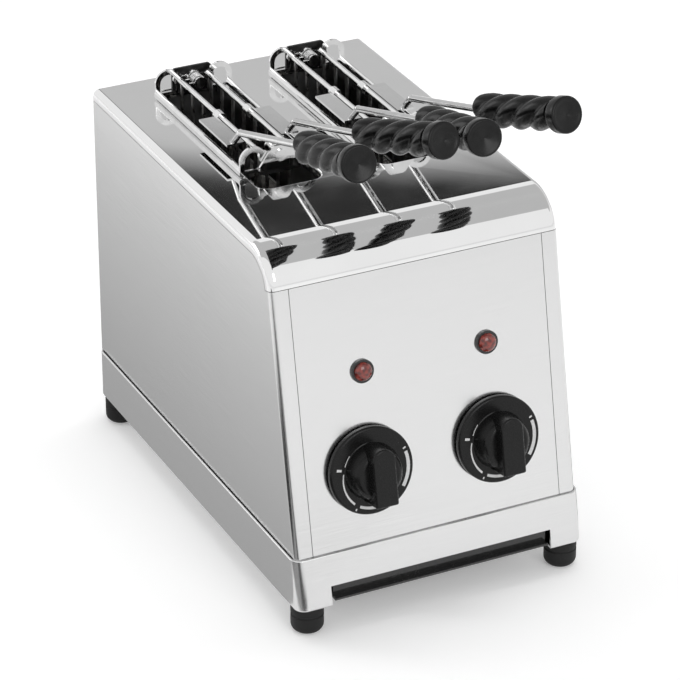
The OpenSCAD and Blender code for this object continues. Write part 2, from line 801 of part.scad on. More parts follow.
module cable_gland() {
  neck_r = gland_bore/2 + 2.2;
  color("#202020") facing_back(gland_x, rear_y, gland_z) difference() {
    union() {
      cylinder(r = gland_dia/2, h = gland_out*0.6, $fn = 6);
      translate([0, 0, gland_out*0.6 - overlap]) cylinder(r1 = gland_dia/2 - 2, r2 = neck_r, h = gland_out*0.4);
      translate([0, 0, -gland_in]) cylinder(r = neck_r, h = gland_in + overlap);
    }
    translate([0, 0, -gland_in - 1]) cylinder(r = gland_bore/2, h = gland_in + gland_out + 2);
  }
}

module gland_nut() {
  neck_r = gland_bore/2 + 2.2;
  color("#202020") facing_back(gland_x, rear_y - sheet - gland_nut_t, gland_z) difference() {
    cylinder(r = gland_dia/2, h = gland_nut_t, $fn = 6);
    translate([0, 0, -1]) cylinder(r = neck_r + fit, h = gland_nut_t + 2);
  }
}

module terminal_block() {
  color("wheat") translate([gland_x, block_y(), base_top]) difference() {
    translate([-block_w/2, -block_d/2, 0]) cube([block_w, block_d, block_h]);
    for (i = [-1:1]) translate([i*block_w/3, 0, 4]) cylinder(r = 2.5, h = block_h);
  }
}

module earth_stud() {
  color("goldenrod") translate([gland_x - 2*block_w/3 - 8, block_y(), 0]) {
    translate([0, 0, base_z - 3]) cylinder(r = foot_bolt_r, h = 20);
    translate([0, 0, base_z - 3]) cylinder(r = foot_head_r, h = 3, $fn = 6);
    translate([0, 0, base_top]) cylinder(r = foot_head_r, h = 3, $fn = 6);
  }
}

// Tongs, drawn about the pivot of a tong in the middle of the body

module at_tong(side) {
  translate([side*slot_x, 0, pivot_z]) children();
}

// At both ends of a tong: local +Y leads outward from the tong's end plate
module at_tong_ends() {
  translate([0, plate_rear_y, 0]) children();
  translate([0, plate_front_y, 0]) mirror([0, 1, 0]) children();
}

// Plate cut across the tong, its outer face at y and drawn inward
module cross_plate(y, t) {
  translate([0, y, 0]) rotate([90, 0, 0]) linear_extrude(t) children();
}

// Outline of an end plate: a straight foot as wide as the rods, rounded shoulders above it
module plate_outline(shoulder) {
  hull() {
    for (s = [-1, 1]) translate([s*(shoulder - plate_r), plate_top - plate_r]) circle(plate_r);
    translate([-plate_half_w, -rail_drop - rail_h/2]) square([2*plate_half_w, rail_h]);
  }
}

// The rear plate keeps its width up to the top, the front one narrows to its rivet
module tong_end_plates(side) {
  color("#2b2b2b") at_tong(side) difference() {
    union() {
      translate([0, plate_rear_y, 0]) cross_plate(plate_t, plate_t) plate_outline(plate_half_w);
      translate([0, plate_front_y, 0]) cross_plate(0, plate_t) plate_outline(plate_top);
    }
    at_tong_ends() facing_back(0, -1, 0) cylinder(r = rivet_dia/2 + fit, h = plate_t + 2);
  }
}

// Inner face of a half's lug, counted inward from the end plate: the left half lies outside
function lug_y(half) = -(half < 0 ? lug_gap : 2*lug_gap + plate_t);

module tong_rivets(side) {
  lug_stack = 3*lug_gap + 2*plate_t;
  rivet_in = lug_stack + spring_l + lug_gap;
  color("silver") at_tong(side) at_tong_ends() {
    facing_back(0, -rivet_in - overlap, 0) cylinder(r = rivet_dia/2, h = rivet_in + plate_t + 2*overlap);
    facing_back(0, plate_t, 0) cylinder(r = rivet_head_r, h = rivet_head_t);
    facing_back(0, -rivet_in - rivet_head_t, 0) cylinder(r = rivet_head_r, h = rivet_head_t);
  }
}

// Half of a tong's frame: an arch with its lug and chord at each end and a rail between them
module tong_frame(side, half) {
  lug_out = lug_y(half);
  arch_out = arch_r + arch_band/2;
  leg_w = arch_band - 0.4;
  rail_from = plate_front_y - lug_out;
  rail_to = plate_rear_y + lug_out;
  color("gainsboro") at_tong(side) mirror([half < 0 ? 0 : 1, 0, 0]) {
    at_tong_ends() difference() {
      cross_plate(lug_out, plate_t) {
        circle(lug_r);
        translate([-rod_x, -lug_r/2]) square([rod_x, lug_r]);
        translate([-rod_x, 0]) circle(hub_rod_r);
        translate([arch_x, arch_z]) difference() {
          circle(arch_out);
          circle(arch_out - arch_band);
          translate([-2*arch_out, -4*arch_out]) square([4*arch_out, 4*arch_out]);
        }
        translate([-rail_x - leg_w/2, -rail_drop]) square([leg_w, rail_drop + arch_z + 1]);
        translate([-rod_x - leg_w/2, -rail_drop]) square([leg_w, rail_drop]);
        translate([-rail_x, -rail_drop - chord_band/2]) square([rail_x - rod_x + leg_w/2, chord_band]);
      }
      facing_back(0, lug_out - plate_t - 1, 0) cylinder(r = rivet_dia/2 + fit, h = plate_t + 2);
    }
    facing_back(-rail_x, rail_from, -rail_drop) linear_extrude(rail_to - rail_from) rail_section();
  }
}

module rail_section() {
  for (s = [-1, 1]) translate([0, s*(rail_h - rail_w)/2]) circle(rail_w/2);
  translate([-rail_w/2, -(rail_h - rail_w)/2]) square([rail_w, rail_h - rail_w]);
}

// The rod lies between the inner faces of its own two lugs
module tong_rod(side, half) {
  inset = plate_t - lug_y(half);
  rod_from = plate_front_y + inset;
  rod_to = plate_rear_y - inset;
  color("gainsboro") at_tong(side)
    facing_back(half*rod_x, rod_from, 0) cylinder(r = rod_dia/2, h = rod_to - rod_from);
}

// Toasting grid welded under the rod, with a hooked foot that keeps the bread in
module tong_grid(side, half) {
  weld = rod_dia/2 - grid_wire/4;
  color("silver") at_tong(side) translate([half*rod_x, plate_front_y + grid_end, 0]) {
    for (i = [0:grid_count - 1]) translate([0, i*grid_pitch, -grid_depth])
      cylinder(r = grid_wire/2, h = grid_depth - weld);
    for (i = [1:3]) facing_back(0, -grid_wire/2, -grid_depth*i/3)
      cylinder(r = grid_wire/2 - fit, h = grid_span + grid_wire);
    for (i = [1:2:grid_count - 2]) translate([0, (i + (half < 0 ? 0 : 0.5))*grid_pitch, -grid_depth])
      rotate([0, -half*90, 0]) cylinder(r = grid_wire/2 - 2*fit, h = hook_reach);
  }
}

// Where a grip starts and how it points, for each half of a tong
function grip_start(half) = [half*leaf_mid, slot_front_y - grip_ahead, grip_lift];
function grip_way(half) =
  let (
    tilt = half < 0 ? left_grip_tilt : right_grip_tilt,
    splay = half < 0 ? left_grip_splay : right_grip_splay)
  [half*cos(tilt)*sin(splay), -cos(tilt)*cos(splay), sin(tilt)];

// Foremost point of a grip's end cap
function grip_reach(half) =
  let (way = grip_way(half))
  grip_start(half)[1] + grip_l*way[1] - cap_dia/2*sqrt(1 - way[1]*way[1]);

module tong_bracket(side, half) {
  leaf_front_y = ring_y - leaf_l;
  joint_r = tang_r + 0.2;
  start = grip_start(half);
  knee = [half*leaf_mid, leaf_front_y - 8, 12];
  root = [half*leaf_mid, leaf_front_y + 4, 0];
  color("gainsboro") at_tong(side) {
    facing_back(half*rod_x, ring_y - ring_l/2, 0) difference() {
      cylinder(r = rod_dia/2 + 1.8, h = ring_l);
      translate([0, 0, -1]) cylinder(r = rod_dia/2 + fit, h = ring_l + 2);
    }
    mirror([half < 0 ? 1 : 0, 0, 0]) translate([leaf_in, leaf_front_y, -leaf_t/2])
      cube([leaf_w, leaf_l, leaf_t]);
    bar_between(root, knee, tang_r);
    bar_between(knee, start, tang_r);
    bar_between(start, start + grip_sink*grip_way(half), tang_r);
    for (p = [root, knee, start]) translate(p) rotate([90, 0, 0]) sphere(joint_r);
  }
}

// Section of a grip: rounded lobes with grooves between them
module grip_section() {
  points = 8*grip_lobes;
  polygon([for (i = [0:points - 1])
    let (a = 360*i/points, r = grip_dia/2 - grip_groove*(1 - abs(cos(grip_lobes*a/2))))
    [r*cos(a), r*sin(a)]]);
}

module tong_grip(side, half) {
  way = grip_way(half);
  color("#1a1a1a") at_tong(side) translate(grip_start(half))
    rotate([0, acos(way[2]), atan2(way[1], way[0])]) {
      linear_extrude(grip_l - cap_l, twist = grip_twist, slices = 20, $fn = 24) grip_section();
      translate([0, 0, grip_l - cap_l - overlap]) cylinder(r1 = cap_dia/2 - 2, r2 = cap_dia/2, h = 3);
      translate([0, 0, grip_l - cap_l + 3 - 2*overlap]) cylinder(r = cap_dia/2, h = cap_l - 3);
    }
}

// Torsion spring: a coil round the rear rivet whose two ends lead out to the rods
function spring_points() =
  let (steps = 8*spring_turns)
  concat(
    [[-leg_reach, 0, 0]],
    [for (i = [0:steps]) let (a = 180 + 360*i/8)
      [spring_r*cos(a), spring_pitch*i/8, spring_r*sin(a)]],
    [[-leg_reach, spring_pitch*spring_turns, 0]]);

function unit(v) = v/norm(v);

// Rings of points round a path that keeps about square to the y axis
function ring_points(path, r, sides) = [
  for (i = [0:len(path) - 1])
    let (
      ahead = path[min(i + 1, len(path) - 1)],
      behind = path[max(i - 1, 0)],
      along = unit(ahead - behind),
      across = unit(cross(along, [0, 1, 0])),
      third = cross(along, across))
    for (k = [0:sides - 1])
      path[i] + r*(cos(360*k/sides)*across + sin(360*k/sides)*third)];

function ring_faces(rings, sides) = concat(
  [for (i = [0:rings - 2], k = [0:sides - 1])
    let (a = i*sides + k, b = i*sides + (k + 1)%sides) each [[a, b, b + sides], [a, b + sides, a + sides]]],
  [for (k = [1:sides - 2]) [0, k + 1, k]],
  [for (k = [1:sides - 2]) let (e = (rings - 1)*sides) [e, e + k, e + k + 1]]);

// Least gap between turns of the spring that lie over half a turn apart
function least_gap(path) = min([
  for (i = [0:len(path) - 1], j = [0:len(path) - 1]) if (j > i + 5) norm(path[i] - path[j])]) - spring_wire;

module tong_spring(side) {
  path = spring_points();
  lug_stack = 3*lug_gap + 2*plate_t;
  echo("least gap between spring turns", least_gap(path));
  color("silver") at_tong(side) translate([0, plate_rear_y - lug_stack - spring_l + spring_wire/2, 0])
    polyhedron(ring_points(path, spring_wire/2, 6), ring_faces(len(path), 6));
}

module placed() {
  translate([0, -origin_y, 0]) children();
}

placed() base_skirt();
placed() base_plate();
placed() rubber_feet();
placed() foot_bolts();
placed() left_side_panel();
placed() right_side_panel();
placed() rear_panel();
placed() rear_screws();
placed() front_panel();
placed() top_cover();
placed() tray_runners();
placed() crumb_tray();
placed() front_bulkhead();
placed() rear_bulkhead();
placed() outer_reflectors();
placed() centre_reflector();
placed() quartz_tubes();
placed() heater_coils();
placed() ceramic_holders();
placed() guard_grilles();
placed() timers();
placed() timer_nuts();
placed() left_timer_shaft();
placed() right_timer_shaft();
placed() left_knob();
placed() right_knob();
placed() indicator_lenses();
placed() indicator_bezels();
placed() lamp_holders();
placed() cable_gland();
placed() gland_nut();
placed() terminal_block();
placed() earth_stud();
placed() tong_end_plates(-1);  // left_tong_end_plates
placed() tong_rivets(-1);  // left_tong_rivets
placed() tong_spring(-1);  // left_tong_spring
placed() tong_frame(-1, -1);  // left_tong_left_frame
placed() tong_rod(-1, -1);  // left_tong_left_rod
placed() tong_grid(-1, -1);  // left_tong_left_grid
placed() tong_bracket(-1, -1);  // left_tong_left_bracket
placed() tong_grip(-1, -1);  // left_tong_left_grip
placed() tong_frame(-1, 1);  // left_tong_right_frame
placed() tong_rod(-1, 1);  // left_tong_right_rod
placed() tong_grid(-1, 1);  // left_tong_right_grid
placed() tong_bracket(-1, 1);  // left_tong_right_bracket
placed() tong_grip(-1, 1);  // left_tong_right_grip
placed() tong_end_plates(1);  // right_tong_end_plates
placed() tong_rivets(1);  // right_tong_rivets
placed() tong_spring(1);  // right_tong_spring
placed() tong_frame(1, -1);  // right_tong_left_frame
placed() tong_rod(1, -1);  // right_tong_left_rod
placed() tong_grid(1, -1);  // right_tong_left_grid
placed() tong_bracket(1, -1);  // right_tong_left_bracket
placed() tong_grip(1, -1);  // right_tong_left_grip
placed() tong_frame(1, 1);  // right_tong_right_frame
placed() tong_rod(1, 1);  // right_tong_right_rod
placed() tong_grid(1, 1);  // right_tong_right_grid
placed() tong_bracket(1, 1);  // right_tong_right_bracket
placed() tong_grip(1, 1);  // right_tong_right_grip
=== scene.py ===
# %% [markdown]
# # A two-slot sandwich toaster
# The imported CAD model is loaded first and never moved. Every piece below is drawn in metres in
# the same frame, rides on one of its bodies, and either stands for CAD nodes or dresses them.

# %% Load the frame
from math import acos, atan2, ceil, cos, pi, radians, sin, tan

import bmesh
import bpy
from mathutils import Matrix, Vector


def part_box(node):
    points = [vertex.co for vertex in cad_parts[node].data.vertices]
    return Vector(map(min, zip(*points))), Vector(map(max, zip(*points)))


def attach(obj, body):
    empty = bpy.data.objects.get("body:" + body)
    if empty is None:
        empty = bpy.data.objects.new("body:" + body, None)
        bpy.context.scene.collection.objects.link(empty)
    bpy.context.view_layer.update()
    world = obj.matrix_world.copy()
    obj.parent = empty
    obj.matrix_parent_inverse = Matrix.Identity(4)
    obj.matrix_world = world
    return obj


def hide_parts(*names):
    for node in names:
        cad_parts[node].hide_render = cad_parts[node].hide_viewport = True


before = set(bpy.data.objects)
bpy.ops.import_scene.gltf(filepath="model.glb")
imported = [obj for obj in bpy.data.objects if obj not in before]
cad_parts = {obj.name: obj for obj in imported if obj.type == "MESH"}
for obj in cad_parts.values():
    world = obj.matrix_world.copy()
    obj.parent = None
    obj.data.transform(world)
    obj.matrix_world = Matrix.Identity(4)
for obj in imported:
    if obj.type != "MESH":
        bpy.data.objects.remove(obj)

scene = bpy.context.scene
scene.view_settings.view_transform = "Standard"
for name in ("Cube", "Light", "Camera"):
    if name in bpy.data.objects:
        bpy.data.objects.remove(bpy.data.objects[name])
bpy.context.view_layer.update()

# %% [markdown]
# ## Camera
# The photograph was taken from the front left, a little above the toaster and with a long lens,
# so its upright edges stay almost parallel. The place, turn and lens below came from fitting the
# housing's corners to the picture.

# %% Camera
camera_turn = radians(-26.03)
camera_drop = radians(28.14)
camera_place = (-0.9864, -2.0306, 1.3293)
lens_length = 190.5
lens = bpy.data.cameras.new("photo_lens")
lens.sensor_width = 36
lens.lens = lens_length
camera = bpy.data.objects.new("photo_camera", lens)
camera.location = camera_place
camera.rotation_euler = (pi/2 - camera_drop, 0, camera_turn)
scene.collection.objects.link(camera)
scene.camera = camera
print("camera looks down", round(camera_drop*180/pi, 1), "degrees")

# %% [markdown]
# ## Node helpers
# Materials and Geometry Nodes are both trees of nodes. One small helper adds a node, sets its
# options and fills its inputs with values or with links, which keeps every tree below short.

# %% Node helpers
def add_node(tree, kind, inputs=None, **settings):
    node = tree.nodes.new(kind)
    for key, value in settings.items():
        setattr(node, key, value)
    for key, value in (inputs or {}).items():
        if isinstance(value, bpy.types.NodeSocket):
            tree.links.new(value, node.inputs[key])
        else:
            node.inputs[key].default_value = value
    return node


def compute(tree, operation, a, b=0.0):
    return add_node(tree, "ShaderNodeMath", {0: a, 1: b}, operation=operation).outputs[0]


print("helpers ready")

# %% [markdown]
# ## Studio
# A white floor and a white surround stand in for a light tent. Steel shows whatever is round
# it, so cards are set where only mirrors see them, as in a product studio: one overhead gives
# the polished cover its dark and bright bands, and others on the floor shade the folded edges
# and let the sides fall off towards the table. Each card is a plain glow with a few tones.

# %% Surround
def glow_where_seen(tree, lit, shown):
    """One strength for rays from the camera and from mirrors or glass, another for plain light."""
    path = add_node(tree, "ShaderNodeLightPath")
    seen = compute(tree, "MAXIMUM", path.outputs["Is Camera Ray"], path.outputs["Is Glossy Ray"])
    seen = compute(tree, "MAXIMUM", seen, path.outputs["Is Transmission Ray"])
    return add_node(tree, "ShaderNodeMapRange", {"Value": seen, "To Min": lit, "To Max": shown}).outputs[0]


tent_light, tent_shown = 0.6, 1.0
world = bpy.data.worlds.new("light_tent")
scene.world = world
world.use_nodes = True
background = world.node_tree.nodes["Background"]
background.inputs["Color"].default_value = (1, 1, 1, 1)
tent_glow = glow_where_seen(world.node_tree, tent_light, tent_shown)
world.node_tree.links.new(tent_glow, background.inputs["Strength"])
print("surround lit at", tent_light)

# %% Floor
def stage_sheet(name, width, depth, place, material):
    mesh = bpy.data.meshes.new(name)
    x, y = width/2, depth/2
    mesh.from_pydata([(-x, -y, 0), (x, -y, 0), (x, y, 0), (-x, y, 0)], [], [(0, 1, 2, 3)])
    mesh.materials.append(material)
    sheet_piece = bpy.data.objects.new(name, mesh)
    scene.collection.objects.link(sheet_piece)
    sheet_piece.matrix_world = place
    return sheet_piece


floor_side, paper_tone, paper_shown = 14, 0.92, 0.25
paper = bpy.data.materials.new("white_paper")
paper.use_nodes = True
paper_shader = paper.node_tree.nodes["Principled BSDF"]
paper_look = {"Base Color": (paper_tone, paper_tone, paper_tone, 1), "Roughness": 0.9,
              "Specular IOR Level": 0.0, "Emission Color": (1, 1, 1, 1)}
for socket, value in paper_look.items():
    paper_shader.inputs[socket].default_value = value
paper_glow = glow_where_seen(paper.node_tree, 0.0, paper_shown)
paper.node_tree.links.new(paper_glow, paper_shader.inputs["Emission Strength"])
stage_sheet("floor", floor_side, floor_side, Matrix.Identity(4), paper)
print("floor laid,", floor_side, "m square")

# %% Cards that only mirrors see
def card_paint(name, span, stops):
    """Plain glow that changes along local Y; stops are pairs of a place from 0 to 1 and a tone."""
    material = bpy.data.materials.new(name)
    material.use_nodes = True
    tree = material.node_tree
    tree.nodes.clear()
    spot = add_node(tree, "ShaderNodeTexCoord").outputs["Object"]
    along = add_node(tree, "ShaderNodeSeparateXYZ", {0: spot}).outputs["Y"]
    share = add_node(tree, "ShaderNodeMapRange", {"Value": along, "From Min": -span/2, "From Max": span/2})
    tones = add_node(tree, "ShaderNodeValToRGB", {"Fac": share.outputs[0]})
    elements = tones.color_ramp.elements
    while len(elements) < len(stops):
        elements.new(0.5)
    for element, (place, tone) in zip(elements, stops):
        element.position = place
        element.color = (tone, tone, tone, 1)
    glow = add_node(tree, "ShaderNodeEmission", {"Color": tones.outputs[0]})
    add_node(tree, "ShaderNodeOutputMaterial", {"Surface": glow.outputs[0]})
    return material


def mirror_card(name, width, depth, place, stops):
    card = stage_sheet(name, width, depth, place, card_paint(name, depth, stops))
    card.visible_camera = False
    card.visible_diffuse = False
    card.visible_shadow = False


def at(x, y, z, turn=0.0):
    return Matrix.Translation((x, y, z)) @ Matrix.Rotation(turn, 4, "Z")


SIDES = ((-1, "left"), (1, "right"))
card_turn = Matrix.Rotation(camera_turn, 4, "Z")
upright = Matrix.Rotation(pi/2, 4, "X")
sky_bands = [(0.0, 0.57), (0.55, 0.57), (0.57, 1.0), (0.87, 1.0), (0.90, 0.03), (0.965, 0.03), (1.0, 0.62)]
even_grey = [(0.0, 0.62), (1.0, 0.62)]
side_fall = [(0.0, 0.45), (0.15, 0.49), (0.6, 0.72), (0.8, 1.0)]
corner_stripes = [(0.0, 0.9), (0.15, 0.02), (0.36, 0.02), (0.40, 0.35), (0.50, 0.35), (0.54, 0.02),
                  (0.61, 0.02), (0.66, 1.0)]
side_card_x, side_card_y = 0.26, 0.435
# the corner card lies off the housing's front left corner, just above the side cards
corner_place = at(-0.108, -0.168, 0.002, radians(225)) @ at(0.66, 0, 0)
mirror_card("sky_card", 6.0, 4.1, card_turn @ at(0, 1.45, 1.9), sky_bands)
mirror_card("back_card", 9.0, 2.1, card_turn @ at(0, 3.5, 0.85) @ upright, even_grey)
mirror_card("corner_card", 1.2, 0.9, corner_place, corner_stripes)
for side, word in SIDES:
    card_place = at(side*side_card_x, side_card_y, 0.001, -side*pi/2)
    mirror_card(f"{word}_card", 1.13, 0.3, card_place, side_fall)
print("five cards placed")

# %% Lamps
lamp_aim = Vector((0, 0, 0.15))


def soft_box(name, place, width, depth, watts):
    """Area lamp aimed at the toaster's middle, with its place given as the camera is turned."""
    lamp = bpy.data.lights.new(name, "AREA")
    lamp.shape = "RECTANGLE"
    lamp.size = width
    lamp.size_y = depth
    lamp.energy = watts
    box = bpy.data.objects.new(name, lamp)
    spot = card_turn @ Vector(place)
    box.location = spot
    box.rotation_euler = (lamp_aim - spot).to_track_quat("-Z", "Y").to_euler()
    scene.collection.objects.link(box)


soft_box("overhead_box", (0, 0.55, 2.3), width=2.6, depth=0.3, watts=16)
soft_box("front_box", (1.4, -2.2, 1.6), width=1.2, depth=1.2, watts=12)
soft_box("side_box", (-2.4, 0.6, 1.2), width=1.2, depth=1.2, watts=8)
print("three soft boxes")

# %% [markdown]
# ## Finishes
# Most of the toaster is stainless steel in three states: the cover is polished like a mirror,
# the panels are brushed to a satin, and the sheets inside are plain. One function builds them
# all, because each finish is the same idea with other numbers: a grain pattern in the piece's
# own coordinates that shifts the colour, the roughness and the relief a little.

# %% One grain pattern, many finishes
def surface(name, dark, light, rough, scale, stretch=(1, 1, 1), relief=0.0, detail=3.0, sockets=None):
    """Finish whose colour, roughness and relief follow one stretched noise."""
    material = bpy.data.materials.new(name)
    material.use_nodes = True
    tree = material.node_tree
    shader = tree.nodes["Principled BSDF"]
    for socket, value in (sockets or {}).items():
        shader.inputs[socket].default_value = value
    place = add_node(tree, "ShaderNodeTexCoord").outputs["Object"]
    place = add_node(tree, "ShaderNodeMapping", {"Vector": place, "Scale": stretch}).outputs[0]
    noise = {"Vector": place, "Scale": scale, "Detail": detail}
    grain = add_node(tree, "ShaderNodeTexNoise", noise).outputs[0]
    tone = add_node(tree, "ShaderNodeValToRGB", {"Fac": grain})
    grain_low, grain_high = 0.3, 0.7
    for element, position, colour in zip(tone.color_ramp.elements, (grain_low, grain_high), (dark, light)):
        element.position = position
        element.color = (*colour, 1)
    spread = {"Value": grain, "From Min": grain_low, "From Max": grain_high,
              "To Min": rough[0], "To Max": rough[1]}
    gloss = add_node(tree, "ShaderNodeMapRange", spread)
    tree.links.new(tone.outputs[0], shader.inputs["Base Color"])
    tree.links.new(gloss.outputs[0], shader.inputs["Roughness"])
    if relief:
        bump = add_node(tree, "ShaderNodeBump", {"Height": grain, "Distance": relief})
        tree.links.new(bump.outputs[0], shader.inputs["Normal"])
    return material


def grey(value, warmth=0.0):
    return (value*(1 + warmth), value, value*(1 - warmth))


print("finish maker ready")

# %% Steel, chrome and brass
def metal(name, dark, light, rough, scale, stretch=(1, 1, 1)):
    return surface(name, dark, light, rough, scale, stretch, sockets={"Metallic": 1.0})


finishes = {
    "mirror_steel": metal("polished_cover", grey(0.79), grey(0.81), (0.03, 0.05), 30),
    "satin_steel": metal("satin_panel", grey(0.69), grey(0.72), (0.17, 0.21), 1400, (0.02, 0.02, 1)),
    "inner_sheet": metal("plain_sheet", grey(0.16), grey(0.24), (0.4, 0.55), 110),
    "reflector_sheet": metal("heat_reflector", grey(0.18, 0.02), grey(0.28), (0.35, 0.5), 60),
    "bright_hardware": metal("plated_screw", grey(0.6), grey(0.72), (0.14, 0.26), 400),
    "tong_chrome": metal("chromed_tong", grey(0.70), grey(0.78), (0.05, 0.11), 120),
    "guard_steel": metal("heated_wire_guard", grey(0.26, 0.05), grey(0.42), (0.25, 0.42), 240),
    "heater_wire": metal("oxidised_winding", (0.10, 0.065, 0.05), (0.2, 0.13, 0.09), (0.4, 0.55), 700),
    "stud_brass": metal("brass_stud", (0.60, 0.41, 0.15), (0.72, 0.50, 0.20), (0.2, 0.32), 500),
}
print(len(finishes), "metals")

# %% Plastic, rubber, enamel and glass
def dull_black(name, low, high, rough, scale, relief):
    sockets = {"Specular IOR Level": 0.25}
    return surface(name, grey(low), grey(high), rough, scale, relief=relief, sockets=sockets)


finishes |= {
    "foot_rubber": dull_black("moulded_rubber", 0.010, 0.018, (0.5, 0.68), 1500, 2e-5),
    "tray_black": surface("black_enamel", grey(0.008), grey(0.014), (0.16, 0.28), 300, relief=4e-6,
                          sockets={"Coat Weight": 0.4}),
    "knob_black": dull_black("moulded_knob", 0.005, 0.008, (0.22, 0.3), 1200, 3e-6),
    "grip_black": dull_black("moulded_grip", 0.004, 0.007, (0.2, 0.28), 260, 4e-6),
    # near-black here is painted reflection: the rear plate is chrome, and its colour stands in for the dark
    # grips and shaded slot that it mirrors
    "end_plate_dark": dull_black("blackened_plate", 0.006, 0.012, (0.3, 0.42), 500, 3e-6),
    "bezel_dark": surface("lamp_rim", grey(0.015), grey(0.03), (0.2, 0.3), 600),
    "gland_black": surface("cable_gland_nylon", grey(0.014), grey(0.024), (0.4, 0.52), 900, relief=5e-6),
    "timer_case": surface("timer_case", grey(0.05), grey(0.08), (0.4, 0.5), 300),
    "terminal_plastic": surface("terminal_plastic", (0.62, 0.55, 0.42), (0.7, 0.63, 0.5), (0.4, 0.5), 300),
    "ceramic_white": surface("glazed_ceramic", (0.68, 0.65, 0.58), (0.78, 0.75, 0.70), (0.3, 0.45), 200),
    "quartz": surface("satin_quartz", (0.86, 0.83, 0.78), (0.95, 0.93, 0.90), (0.16, 0.3), 150,
                      sockets={"Transmission Weight": 0.7, "IOR": 1.46}),
    "lens_red": surface("ribbed_red_lens", (0.10, 0.010, 0.007), (0.30, 0.035, 0.022), (0.06, 0.14), 420,
                        relief=6e-5, detail=0.0, sockets={"Coat Weight": 0.6}),
}
dial_white = surface("dial_print", grey(0.72), grey(0.82), (0.4, 0.5), 900)
print(len(finishes), "finishes in all")

# %% Every CAD node takes the finish of its slot
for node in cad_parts.values():
    for slot in node.material_slots:
        slot.material = finishes[slot.material.name.split(".")[0]]
print(len(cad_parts), "nodes dressed")

# %% [markdown]
# ## Shape helpers
# A turned part is a profile swung round an axis, a folded sheet is a skin given its thickness by
# Solidify, and a rounded edge comes from Bevel. These helpers do those three things and then
# bake the modifiers, so that each finished piece is a plain mesh in its final place.

# %% Shape helpers
same_spot = 1e-6


def as_mesh(bm, name):
    bmesh.ops.remove_doubles(bm, verts=bm.verts, dist=same_spot)
    bmesh.ops.recalc_face_normals(bm, faces=bm.faces)
    mesh = bpy.data.meshes.new(name)
    bm.to_mesh(mesh)
    bm.free()
    return mesh


def shade(mesh, angle=35):
    mesh.polygons.foreach_set("use_smooth", [True]*len(mesh.polygons))
    mesh.set_sharp_from_angle(angle=radians(angle))


def loose(name, mesh):
    piece = bpy.data.objects.new(name, mesh)
    scene.collection.objects.link(piece)
    return piece


def settle(piece):
    """Bakes an object's modifiers into a plain mesh."""
    graph = bpy.context.evaluated_depsgraph_get()
    mesh = bpy.data.meshes.new_from_object(piece.evaluated_get(graph))
    piece.modifiers.clear()
    piece.data = mesh


def even_shading(piece, angle=35):
    """Lets the large faces set the shading, so that flats stay flat beside their rounded edges."""
    shade(piece.data, angle)
    normals = piece.modifiers.new("even_shading", "WEIGHTED_NORMAL")
    normals.weight = 95
    normals.keep_sharp = True
    settle(piece)


def round_edges(piece, width, segments=3, angle=35):
    bevel = piece.modifiers.new("rounded_edges", "BEVEL")
    bevel.width = width
    bevel.segments = segments
    bevel.limit_method = "ANGLE"
    bevel.angle_limit = radians(angle)
    settle(piece)


def give_thickness(piece, thickness):
    wall = piece.modifiers.new("sheet", "SOLIDIFY")
    wall.thickness = thickness
    wall.offset = -1
    wall.use_even_offset = True
    settle(piece)


def fit_piece(piece, slot, body, *nodes):
    """Gives a piece its finish and its body, and hides the CAD nodes that it stands for."""
    piece.data.materials.clear()
    piece.data.materials.append(finishes[slot])
    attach(piece, body)
    if nodes:
        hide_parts(*nodes)
    return piece


def arc(across, up, radius, start, end, steps=6):
    turns = [radians(start + (end - start)*i/steps) for i in range(steps + 1)]
    return [(across + radius*cos(t), up + radius*sin(t)) for t in turns]


def lathe(bm, profile, place, steps=72):
    """Swings (radius, height) points about local Z; a point on the axis becomes a pole."""
    rings = []
    for radius, height in profile:
        spots = [2*pi*i/steps for i in range(steps if radius > same_spot else 1)]
        rings.append([bm.verts.new(place @ Vector((radius*cos(t), radius*sin(t), height))) for t in spots])
    for low, high in zip(rings, rings[1:]):
        for i in range(steps):
            j = (i + 1) % steps
            corners = [low[i % len(low)], low[j % len(low)], high[j % len(high)], high[i % len(high)]]
            corners = list(dict.fromkeys(corners))
            if len(corners) > 2:
                bm.faces.new(corners)


def skin_rings(bm, rings):
    """Quads between closed rings of equal count, from each ring to the next."""
    for low, high in zip(rings, rings[1:]):
        for corners in zip(low, low[1:] + low[:1], high[1:] + high[:1], high):
            bm.faces.new(corners)


print("shape helpers ready")

# %% [markdown]
# ## The housing's measures
# The front leans back, so a place on it is given by its distance from the middle and its height.
# The same few values drive the cover, the side panels, the skirt and the controls, and what the
# packed boxes already say is read from them.

# %% Measures of the housing
lean = radians(11)
sheet = 0.0012
seam = 0.0004
skirt_low, skirt_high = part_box("base_skirt")
cover_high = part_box("top_cover")[1]
foot_h, top_h = skirt_low.z, cover_high.z
half_w, rear_y = cover_high.x, cover_high.y
skirt_proud, panel_rise = 0.0022, 0.008
panel_z = foot_h + panel_rise
wide_r, wide_turn, slope_l, tight_r = 0.032, radians(40), 0.002, 0.024
cover_strip, cover_edge, cover_lip = 0.002, 0.005, 0.008
slot_w, slot_l, slot_r = 0.048, 0.181, 0.009
slot_x, slot_back = 0.045, 0.022
slot_y = rear_y - slot_back - slot_l/2


def skirt_front(z):
    return skirt_low.y + (z - foot_h)*tan(lean)


def front_y(z):
    return skirt_front(z) + skirt_proud


def on_front(x, z):
    """Place on the leaning front: local Z points out of it and local Y up along it."""
    return Matrix.Translation((x, front_y(z), z)) @ Matrix.Rotation(pi/2 - lean, 4, "X")


